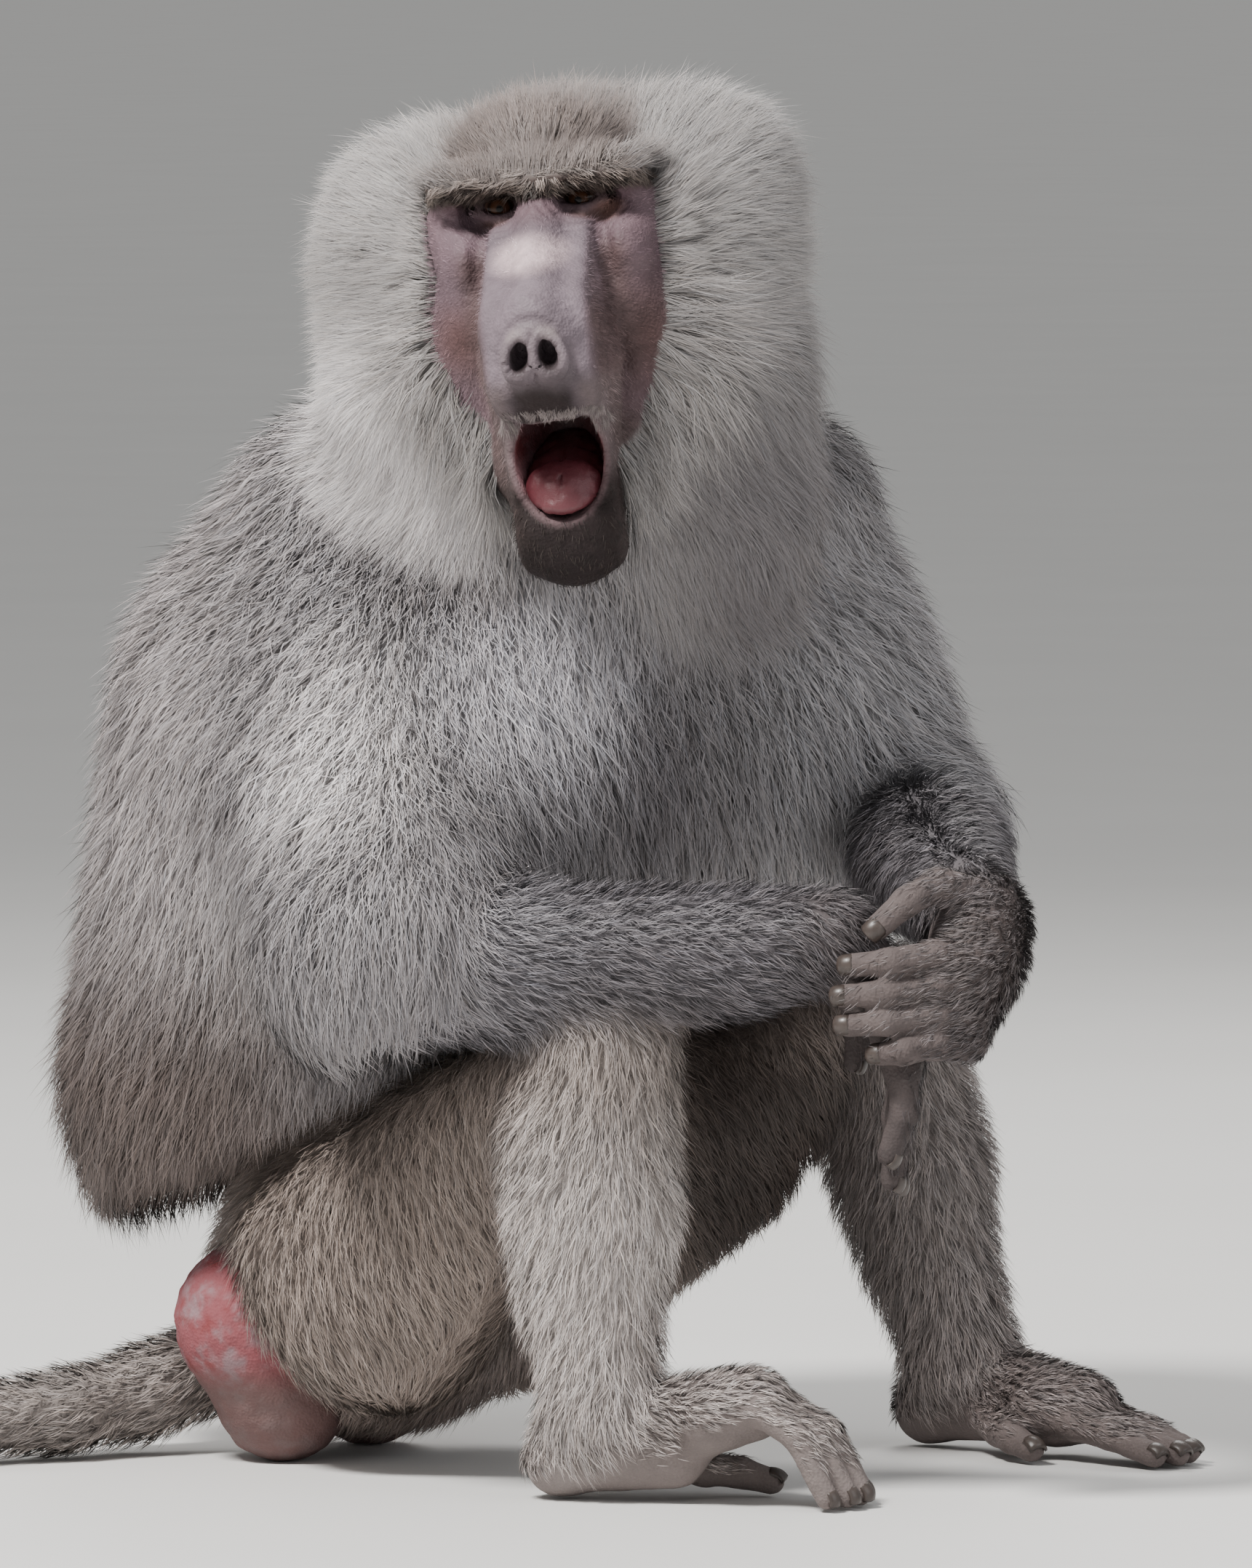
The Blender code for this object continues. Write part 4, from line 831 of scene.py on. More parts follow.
def thinned(p, t, keep, target):
    """Collapses the mesh to about target triangles, outside the points kept."""
    ob = make_object("thin", p * 0.001, t, flip=False)
    group = ob.vertex_groups.new(name="free")
    group.add(np.nonzero(~keep)[0].tolist(), 1.0, "REPLACE")
    m = ob.modifiers.new("thin", "DECIMATE")
    m.ratio = target / (len(t) * (2 if t.shape[1] == 4 else 1))
    m.vertex_group = "free"
    m.vertex_group_factor = 1.0
    m.use_collapse_triangulate = True
    graph = bpy.context.evaluated_depsgraph_get()
    mesh = ob.evaluated_get(graph).to_mesh()
    co = np.empty(len(mesh.vertices) * 3, F32)
    mesh.vertices.foreach_get("co", co)
    mesh.calc_loop_triangles()
    tri = np.empty(len(mesh.loop_triangles) * 3, np.int32)
    mesh.loop_triangles.foreach_get("vertices", tri)
    old = ob.data
    bpy.data.objects.remove(ob)
    bpy.data.meshes.remove(old)
    return co.reshape(-1, 3).astype(float) * 1000, tri.reshape(-1, 3)


# ---------------------------------------------------------------- the skin
points, quads = net(WHOLE, (-540, -340, -12), (352, 382, 802), 2.4, 1.0)
for _i in range(2):
    points = on_field(WHOLE, points, 1.0)
    points = relax(points, edges_of(quads), 0.12)
_h = to_head(points)
_w = shares(points)
_keep = (share_of(_w, "head", "ear_r", "ear_l") > 0.5) & (_h[:, 1] > -50) & (_h[:, 2] < 22)
_keep |= share_of(_w, "hand_r", "hand_l", "foot_r", "foot_l", "callus_r", "callus_l") > 0.6
points, tris = thinned(points, quads, _keep, 124000)
_h = to_head(points[tris].mean(1))
_mark = (_h[:, 1] > -16) & (_h[:, 2] < 10) & (_h[:, 2] > -160) & (np.abs(_h[:, 0]) < 44)
points, tris = refine(points, tris, _mark)
_h = to_head(points)
_fine = (_h[:, 1] > -40) & (_h[:, 2] < 16) & (np.abs(_h[:, 0]) < 70)
points[_fine] = on_field(WHOLE, points[_fine], 1.0, most=1.0)
W = shares(points)
BARE = bare_share(points, W)
NORMAL = vertex_normals(points, tris)


def folds(p, w):
    """Wrinkles of the face and the seat pads, as a height in mm."""
    h = to_head(p)
    x, y, z = h.T
    head = share_of(w, "head") * step_up(y, -40, -10)
    out = 0.28 * noise(h * vec(1, 1, 1.8), 5.0, 21) + 0.16 * noise(h, 2.4, 22)
    # fine creases across the muzzle's sides and under the eyes
    for s in (-1, 1):
        e = vec(s * EYE_APART / 2, -2, EYE_Z)
        r = np.linalg.norm((h - e) * vec(1, 0.7, 1.25), axis=1)
        ring = np.sin(r * 1.15 + 1.4 * noise(h, 9, 23 + s)) * step_up(r, 13, 17) * (1 - step_up(r, 26, 36))
        out = out + 0.42 * ring * (1 - step_up(z, 2, 8))
        side = near(h, (s * 37, 30, -78), (20, 52, 44))
        out = out + 0.5 * side * np.sin((y * 0.55 + z * 0.35) * 0.9 + 1.8 * noise(h, 13, 26 + s))
        # the sharp edges of the flat muzzle, and the groove beside each
        reach = step_up(y, -4, 12) * (1 - step_up(y, 66, 84)) * step_up(-z, 14, 30)
        out = out + reach * (1.3 * np.exp(-(((s * x) - 24.5) / 4.2) ** 2) - 3.2 * np.exp(-(((s * x) - 33.5) / 5.0) ** 2))
        out = out - 1.2 * np.exp(-((np.abs(s * x - 37 + 0.12 * (z + 90)) / 2.6) ** 2)) * step_up(-z, 84, 98) * (1 - step_up(-z, 134, 146)) * step_up(y, -10, 12)
    disc = np.sqrt((x / 18.5) ** 2 + ((z + 89.5) / 22) ** 2)
    tip = step_up(y, 62, 78)
    out = out + tip * (0.9 * (1 - step_up(disc, 0.75, 1.0)) - 1.3 * np.exp(-(((disc - 1.08) / 0.10) ** 2)) * step_up(z, -104, -92))
    for s in (-1, 1):
        rim = np.sqrt(((x - s * 8.0) / 6.4) ** 2 + ((z + 85.5) / 10.0) ** 2)
        out = out + tip * 1.0 * np.exp(-(((rim - 1.32) / 0.22) ** 2))
    out = out - tip * 1.1 * np.exp(-((x / 1.3) ** 2)) * (1 - step_up(np.abs(z + 86), 10, 16))
    out = out + 0.8 * np.exp(-((x / 4.5) ** 2)) * step_up(-z, 2, 10) * (1 - step_up(-z, 26, 40))
    out = out * head
    pads = share_of(w, "callus_r", "callus_l")
    out = out + pads * (0.9 * noise(p * vec(1, 1, 1.7), 12, 30) + 0.45 * noise(p, 4.2, 31))
    out = out + share_of(w, "hand_r", "hand_l", "foot_r", "foot_l") * 0.22 * noise(p, 3.4, 32)
    return out


points = points + NORMAL * folds(points, W)[:, None]
points[:, 2] = np.maximum(points[:, 2], 0.3)
skin = make_object("skin", row(points), tris)
_colour, _gloss = skin_colour(points, W, BARE)
attribute(skin, "Col", "FLOAT_COLOR", _colour)
attribute(skin, "Gloss", "FLOAT", _gloss)
attribute(skin, "Bare", "FLOAT", BARE)
NORMAL = vertex_normals(points, tris)


# ---------------------------------------------------------------- materials
def material(name):
    m = bpy.data.materials.new(name)
    m.use_nodes = True
    nodes, links = m.node_tree.nodes, m.node_tree.links
    bsdf = next(n for n in nodes if n.type == "BSDF_PRINCIPLED")

    def add(kind, **values):
        n = nodes.new(kind)
        for k, v in values.items():
            if k in n.inputs:
                n.inputs[k].default_value = v
            else:
                setattr(n, k, v)
        return n

    def noise_at(scale, detail=3.0, rough=0.55, stretch=None):
        n = add("ShaderNodeTexNoise")
        n.inputs["Scale"].default_value = scale
        n.inputs["Detail"].default_value = detail
        n.inputs["Roughness"].default_value = rough
        t = add("ShaderNodeTexCoord")
        if stretch:
            mp = add("ShaderNodeMapping")
            mp.inputs["Scale"].default_value = stretch
            links.new(t.outputs["Object"], mp.inputs["Vector"])
            links.new(mp.outputs["Vector"], n.inputs["Vector"])
        else:
            links.new(t.outputs["Object"], n.inputs["Vector"])
        return n

    def scaled(socket, a, b):
        r = add("ShaderNodeMapRange")
        r.inputs["To Min"].default_value = a
        r.inputs["To Max"].default_value = b
        links.new(socket, r.inputs["Value"])
        return r.outputs["Result"]

    return m, bsdf, add, links, noise_at, scaled


def times(add, links, colour, factor):
    v = add("ShaderNodeVectorMath", operation="SCALE")
    links.new(colour, v.inputs[0])
    links.new(factor, v.inputs["Scale"])
    return v.outputs[0]


m, bsdf, add, links, noise_at, scaled = material("skin")
col = add("ShaderNodeAttribute")
col.attribute_name = "Col"
gloss = add("ShaderNodeAttribute")
gloss.attribute_name = "Gloss"
links.new(times(add, links, col.outputs["Color"], scaled(noise_at(900, 4).outputs["Fac"], 0.82, 1.18)), bsdf.inputs["Base Color"])
_r = add("ShaderNodeMath", operation="MULTIPLY")
links.new(gloss.outputs["Fac"], _r.inputs[0])
links.new(scaled(noise_at(420, 3).outputs["Fac"], 0.78, 1.22), _r.inputs[1])
links.new(_r.outputs[0], bsdf.inputs["Roughness"])
bump = add("ShaderNodeBump")
bump.inputs["Strength"].default_value = 0.6
bump.inputs["Distance"].default_value = 0.0006
_v = add("ShaderNodeTexVoronoi")
_v.inputs["Scale"].default_value = 620
_t = add("ShaderNodeTexCoord")
links.new(_t.outputs["Object"], _v.inputs["Vector"])
_s = add("ShaderNodeMath", operation="ADD")
links.new(_v.outputs["Distance"], _s.inputs[0])
links.new(noise_at(260, 5, 0.62).outputs["Fac"], _s.inputs[1])
links.new(_s.outputs[0], bump.inputs["Height"])
links.new(bump.outputs["Normal"], bsdf.inputs["Normal"])
bsdf.inputs["Specular IOR Level"].default_value = 0.24
bsdf.inputs["Subsurface Weight"].default_value = 0.0
SKIN = m
skin.data.materials.append(SKIN)


# ---------------------------------------------------------------- eyes
def sphere(rings, around, radius, pole=0.0):
    """A ball whose pole looks along +y, finer towards the pole, with a slight bulge over the iris."""
    p, f = [], []
    for i in range(rings + 1):
        a = math.pi * (i / rings) ** 1.35
        swell = radius + pole * math.exp(-((a / 0.42) ** 4))
        for k in range(around):
            b = 2 * math.pi * k / around
            p.append((swell * math.sin(a) * math.cos(b), swell * math.cos(a), swell * math.sin(a) * math.sin(b)))
    n = around
    for i in range(rings):
        for k in range(n):
            f.append((i * n + k, i * n + (k + 1) % n, (i + 1) * n + (k + 1) % n, (i + 1) * n + k))
    return np.array(p), np.array(f)


m, bsdf, add, links, noise_at, scaled = material("eye")
col = add("ShaderNodeAttribute")
col.attribute_name = "Col"
links.new(col.outputs["Color"], bsdf.inputs["Base Color"])
bsdf.inputs["Roughness"].default_value = 0.05
bsdf.inputs["Specular IOR Level"].default_value = 0.16
EYE = m
for side, name in ((-1, "eye_right"), (1, "eye_left")):
    p, f = sphere(40, 64, EYE_RADIUS, 0.7)
    look = frame_of(1.5 * -side, -7.0, 0.0)
    angle = np.degrees(np.arccos(np.clip(unit(p)[:, 1], -1, 1)))
    spin = np.arctan2(p[:, 2], p[:, 0])
    c = np.tile(vec(0.050, 0.028, 0.022), (len(p), 1))
    c = mix(c, (0.012, 0.007, 0.005), step_up(angle, 26, 31) * (1 - step_up(angle, 35, 44)))
    streak = noise(np.stack([np.cos(spin) * 30, np.sin(spin) * 30, angle * 0.6], 1), 3.2, 41)
    iris = np.tile(vec(0.055, 0.024, 0.013), (len(p), 1)) * (1 + 0.30 * streak)[:, None]
    iris = mix(iris, (0.028, 0.013, 0.008), step_up(angle, 21, 29))
    iris = mix(iris, (0.040, 0.018, 0.010), 1 - step_up(angle, 11, 16))
    c = mix(c, (0, 0, 0), 1 - step_up(angle, 29, 31)) + iris * (1 - step_up(angle, 29, 31))[:, None]
    c = mix(c, (0.003, 0.002, 0.002), 1 - step_up(angle, 9.5, 11))
    at = in_head(side * EYE_APART / 2, -9.5, EYE_Z) + p @ (look @ HEAD_AXES)
    ob = make_object(name + "_ball", row(at), f, flip=False)
    attribute(ob, "Col", "FLOAT_COLOR", c)
    ob.data.materials.append(EYE)
    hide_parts(name)
    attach(ob, "root")

# ---------------------------------------------------------------- tongue
TONGUE = Lumps(HEAD_AT, HEAD_AXES)
TONGUE.cone((0, -10, -140), (0, 26, -153), 20.5, 20.5, flat=((0, 0.35, 1), 0.62))
TONGUE.cone((0, 22, -154), (0, 33, -160), 19.3, 15.5, k=8, flat=((0, 0.5, 1), 0.42))
TONGUE.cone((0, -6, -124.5), (0, 26, -141), 0.6, 0.6, k=5, cut=True)
TONGUE.cone((0, 26, -141), (0, 46, -153), 0.5, 0.5, k=4, cut=True)
_c = in_head(0, 16, -150)
p, q = net(TONGUE, _c - 44, _c + 44, 1.15, 0.0)
for _i in range(2):
    p = relax(on_field(TONGUE, p, 0.0), edges_of(q), 0.15)
t = np.concatenate([q[:, [0, 1, 2]], q[:, [0, 2, 3]]])
n = vertex_normals(p, t)
h = to_head(p)
p = p + n * (0.35 * noise(h * vec(1.4, 0.7, 1), 3.4, 51) + 0.14 * noise(h, 1.7, 52) + 0.5 * np.sin(h[:, 1] * 0.42 + 1.2 * noise(h, 8, 53)) * step_up(np.abs(h[:, 0]), 3, 10))[:, None]
ob = make_object("tongue_flesh", row(p), q)
# painted shade: the tongue darker than its flesh, as in the mouth's shade, darker still towards the back, paler at the
# tip
c = np.tile(vec(0.082, 0.0135, 0.020), (len(p), 1)) * (1 + 0.14 * noise(h, 4, 54) + 0.10 * noise(h, 1.8, 55))[:, None]
c = mix(c, (0.055, 0.009, 0.011), step_up(-h[:, 1], -18, 6))
c = mix(c, (0.135, 0.038, 0.046), 0.6 * step_up(h[:, 1], 32, 48))
attribute(ob, "Col", "FLOAT_COLOR", c)
m, bsdf, add, links, noise_at, scaled = material("tongue")
col = add("ShaderNodeAttribute")
col.attribute_name = "Col"
links.new(times(add, links, col.outputs["Color"], scaled(noise_at(1300, 3).outputs["Fac"], 0.8, 1.2)), bsdf.inputs["Base Color"])
links.new(scaled(noise_at(500, 3).outputs["Fac"], 0.34, 0.58), bsdf.inputs["Roughness"])
bump = add("ShaderNodeBump")
bump.inputs["Strength"].default_value = 0.5
bump.inputs["Distance"].default_value = 0.0005
links.new(noise_at(1100, 4).outputs["Fac"], bump.inputs["Height"])
links.new(bump.outputs["Normal"], bsdf.inputs["Normal"])
ob.data.materials.append(m)
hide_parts("tongue")
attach(ob, "root")


# ---------------------------------------------------------------- nails
def nail(middle, tip, r, along_u=9, across=9):
    """The way along a fingertip and the way up from its back, for a dark curved nail over it."""
    d = unit(tip - middle)
    up = vec(0, 0, 1) - d * d[2]
    if np.linalg.norm(up) < 0.35:
        f = unit(vec(0.4, 1, 0))
        up = f - d * (f @ d)
    return d, unit(up)


p_all, f_all, base = [], [], 0
for middle, tip, r, index in NAILS:
    d, up = nail(middle, tip, r)
    if 10 <= index < 15:
        up = unit(vec(0.95, 0.05, 0.2) - d * (vec(0.95, 0.05, 0.2) @ d))
    elif index >= 15:
        up = unit(vec(0.0, 1.0, 0.25) - d * (vec(0.0, 1.0, 0.25) @ d))
    side = np.cross(d, up)
    nu, nv = 9, 9
    for layer, lift in ((0, 0.75), (1, -1.2)):
        for i in range(nu):
            s = i / (nu - 1)
            for k in range(nv):
                a = math.radians(-62 + 124 * k / (nv - 1))
                rr = r + lift - (0.45 if s < 0.25 else 0) * (1 - s / 0.25)
                reach = -0.35 * r + s * (1.45 * r) * (1 - 0.16 * (abs(a) / 1.08) ** 2)
                bend = 0.10 * r * max(0.0, s - 0.5) ** 2 * 4
                c = tip + d * reach - up * (bend + (0.55 * r * max(0.0, s - 0.35) ** 2))
                p_all.append(c + rr * (up * math.cos(a) + side * math.sin(a) * 0.92))
    for i in range(nu - 1):
        for k in range(nv - 1):
            a = base + i * nv + k
            f_all.append((a, a + nv, a + nv + 1, a + 1))
            b = a + nu * nv
            f_all.append((b, b + 1, b + nv + 1, b + nv))
    rim = [base + k for k in range(nv)] + [base + i * nv + nv - 1 for i in range(1, nu)]
    rim += [base + (nu - 1) * nv + k for k in range(nv - 2, -1, -1)] + [base + i * nv for i in range(nu - 2, 0, -1)]
    for i in range(len(rim)):
        a, b = rim[i], rim[(i + 1) % len(rim)]
        f_all.append((a, b, b + nu * nv, a + nu * nv))
    base = len(p_all)
p_all, f_all = np.array(p_all), np.array(f_all)
ob = make_object("claws", row(p_all), f_all, flip=False)
bm = bmesh.new()
bm.from_mesh(ob.data)
bmesh.ops.recalc_face_normals(bm, faces=bm.faces)
bm.to_mesh(ob.data)
bm.free()
m, bsdf, add, links, noise_at, scaled = material("nail")
_k = add("ShaderNodeValToRGB")
_k.color_ramp.elements[0].color = (0.022, 0.016, 0.014, 1)
_k.color_ramp.elements[1].color = (0.085, 0.066, 0.058, 1)
links.new(noise_at(240, 3, 0.6).outputs["Fac"], _k.inputs["Fac"])
links.new(_k.outputs["Color"], bsdf.inputs["Base Color"])
links.new(scaled(noise_at(600, 2).outputs["Fac"], 0.28, 0.5), bsdf.inputs["Roughness"])
ob.data.materials.append(m)
CLAWS = ob


# ---------------------------------------------------------------- the coat's outline, on a lattice, for the tips to end at
class Lattice:
    def __init__(self, lumps, lo, hi, step):
        cells = 8
        size = step * cells
        self.lo, self.step = np.asarray(lo, float), step
        n = np.ceil((np.asarray(hi) - self.lo) / size).astype(int)
        block = np.stack(np.meshgrid(*[np.arange(k) for k in n], indexing="ij"), -1).reshape(-1, 3)
        f0 = lumps.at_points(self.lo + (block + 0.5) * size, 0.0, reach=90)
        close = np.abs(f0) < size * 0.87 + 80
        self.f = np.full(n * cells, 80.0, F32)
        grid = np.stack(np.meshgrid(*[np.arange(cells)] * 3, indexing="ij"), -1).reshape(-1, 3)
        offset = (grid - cells / 2) * step
        for s in range(0, int(close.sum()), 400):
            b = block[close][s : s + 400]
            v = lumps.value(self.lo + (b + 0.5) * size, offset, 0.0, reach=60).reshape(len(b), cells, cells, cells)
            for (i, j, k), one in zip(b * cells, v):
                self.f[i : i + cells, j : j + cells, k : k + cells] = one
        self.most = np.array(self.f.shape) - 2

    def value(self, p):
        q = (p - self.lo) / self.step
        i = np.clip(np.floor(q).astype(np.int64), 0, self.most)
        t = np.clip(q - i, 0, 1)
        out = np.zeros(len(p))
        for c in range(8):
            o = (c & 1, c >> 1 & 1, c >> 2 & 1)
            w = np.prod([t[:, a] if o[a] else 1 - t[:, a] for a in range(3)], axis=0)
            out += w * self.f[i[:, 0] + o[0], i[:, 1] + o[1], i[:, 2] + o[2]]
        return out

    def slope(self, p, h=3.0):
        g = np.stack([self.value(p + h * np.eye(3)[i]) - self.value(p - h * np.eye(3)[i]) for i in range(3)], 1) / (2 * h)
        return self.value(p), unit(g)


COAT_FIELD = Lattice(WHOLE, (-560, -360, -60), (380, 400, 820), 6.0)
_free = Lumps()
_free.items = [i for i in cape_lumps().items if i[0] != "plane"]
FREE_FIELD = Lumps()
FREE_FIELD.join(_free, k=0)
FREE_FIELD.join(PART["mane"], k=34)
FREE_FIELD.join(PART["fore_l"], k=10)
FREE_FIELD.join(PART["fore_r"], k=10)
FREE_FIELD = Lattice(FREE_FIELD, (-380, -340, 0), (380, 400, 820), 6.0)
_hem_n = unit(vec(*HEM_FACES))


def above_hem(p):
    return -((p - vec(*HEM_AT)) @ _hem_n)



# ---------------------------------------------------------------- the lie of the hair
def limb_flow(a, b, extra=(0, 0, 0)):
    return unit(unit(vec(*b) - vec(*a)) + vec(*extra))


def flows(p, w):
    """The way the hair lies at each point, before it is laid along the surface."""
    h = to_head(p)
    x, y, z = h.T
    ruff = unit(np.stack([x + 3, 0 * x, (z + 46) * 0.9], 1)) + np.stack([0 * x, np.full_like(x, -0.62), -0.15 - 0.75 * step_up(-z, 70, 140)], 1)
    back = step_up(-y, 95, 160)
    ruff = mix(unit(ruff), (0.0, -0.25, -1.0), back)
    ruff = ruff + 0.22 * np.stack([noise(p, 38, 61), noise(p, 38, 62), noise(p, 38, 63)], 1)
    ruff = ruff @ HEAD_AXES
    out_ = np.stack([(p[:, 0] + 20) / 150, (p[:, 1] + 10) / 150, 0 * x], 1)
    cape = 0.30 * out_ + vec(0, 0, -1.0)
    on_arm = near(p, along(SHOULDER_R, ELBOW_R, 0.8), (110, 130, 120))
    cape = cape - 0.30 * on_arm[:, None] * vec(0, 1, 0)
    cape = cape + 0.20 * np.stack([noise(p, 55, 64), noise(p, 55, 65), 0 * x], 1)
    haunch = np.tile(unit(-0.42 * PF + vec(0, 0, -1.0)), (len(p), 1))
    thigh_flow = {s: limb_flow(HIP_R if s < 0 else HIP_L, KNEE_R if s < 0 else KNEE_L, (-0.45, -0.2, -1.3)) for s in (-1, 1)}
    f_r, f_l = heading(FOOT_R_HEADING)[0], heading(FOOT_L_HEADING)[0]
    seg = np.stack([vec(*q) for q in TAIL])
    mid = (seg[1:] + seg[:-1]) / 2
    d2 = ((p[:, None] - mid[None]) ** 2).sum(2)
    ww = np.exp(-(d2 - d2.min(1, keepdims=True)) / 900.0)
    tail = unit((ww / ww.sum(1, keepdims=True)) @ unit(seg[1:] - seg[:-1]))
    table = {
        "head": ruff, "mane": ruff, "ear_r": ruff, "ear_l": ruff, "cape": cape, "trunk": haunch, "callus_r": haunch,
        "callus_l": haunch, "thigh_r": thigh_flow[-1], "thigh_l": thigh_flow[1],
        "shin_r": limb_flow(KNEE_R, ANKLE_R, -0.22 * f_r), "shin_l": limb_flow(KNEE_L, ANKLE_L, -0.22 * f_l),
        "foot_r": unit(f_r + vec(0, 0, -0.15)), "foot_l": unit(f_l + vec(0, 0, -0.15)),
        "fore_r": limb_flow(ELBOW_R, WRIST_R, (0, 0, -0.30)), "fore_l": unit(vec(0.25, 0.12, -1.0)),
        "hand_r": unit(vec(0.12, 0.0, -1.0)), "hand_l": unit(vec(-0.75, 0.35, -0.25)), "tail": tail,
    }
    out = np.zeros((len(p), 3))
    for i, n in enumerate(ORDER):
        out += table[n] * w[:, i : i + 1]
    return unit(out + 0.12 * np.stack([noise(p, 17, 66), noise(p, 17, 67), noise(p, 17, 68)], 1))


# ---------------------------------------------------------------- where each kind of hair grows
TRI_AREA = np.linalg.norm(np.cross(points[tris[:, 1]] - points[tris[:, 0]], points[tris[:, 2]] - points[tris[:, 0]]), axis=1) / 2
TRI_MID = points[tris].mean(1)
TRI_N = unit(NORMAL[tris].mean(1))
TRI_W = W[tris].mean(1)
TRI_BARE = BARE[tris].mean(1)
TRI_H = to_head(TRI_MID)
TRI_D = -COAT_FIELD.value(TRI_MID)
TRI_PART = np.argmax(TRI_W, axis=1)


def is_part(*names):
    return np.isin(TRI_PART, [ORDER.index(n) for n in names])


def resting(z):
    """No hair under what stands on the floor."""
    return 1 - (TRI_MID[:, 2] < 2.5) * (TRI_N[:, 2] < -0.5)


_fur = (1 - step_up(TRI_BARE, 0.25, 0.6)) * resting(0)
_tips = np.stack([tip for _, tip, _, _ in NAILS])
_from_tip = np.sqrt(((TRI_MID[:, None] - _tips[None]) ** 2).sum(2).min(1))
_palm = np.where(is_part("hand_r"), step_up(TRI_N[:, 0], -0.25, 0.25), 1.0) * np.where(is_part("hand_l"), step_up(TRI_N[:, 0] * 0.8 + TRI_N[:, 1] * 0.8 + TRI_N[:, 2] * 0.3, -0.1, 0.3), 1.0)
_palm *= np.where(is_part("foot_r", "foot_l"), step_up(TRI_N[:, 2], -0.35, 0.1), 1.0)

rng = np.random.default_rng(7)
COAT = []
STRANDS = 1.0
WIDER = 1.0


def box_unwrap(p, n, lo, hi):
    """Places on a six-sided unwrap of the skin: each point falls on the side its normal faces."""
    side = np.argmax(np.abs(n), axis=1)
    face = side * 2 + (n[np.arange(len(n)), side] > 0)
    q = (p - lo) / np.maximum(hi - lo, 1e-6)
    a = np.where(side == 0, q[:, 1], q[:, 0])
    b = np.where(side == 2, q[:, 1], q[:, 2])
    col_, row_ = face % 3, face // 3
    return np.stack([(col_ + 0.04 + 0.90 * a) / 3, (row_ + 0.03 + 0.92 * b) / 2], 1)


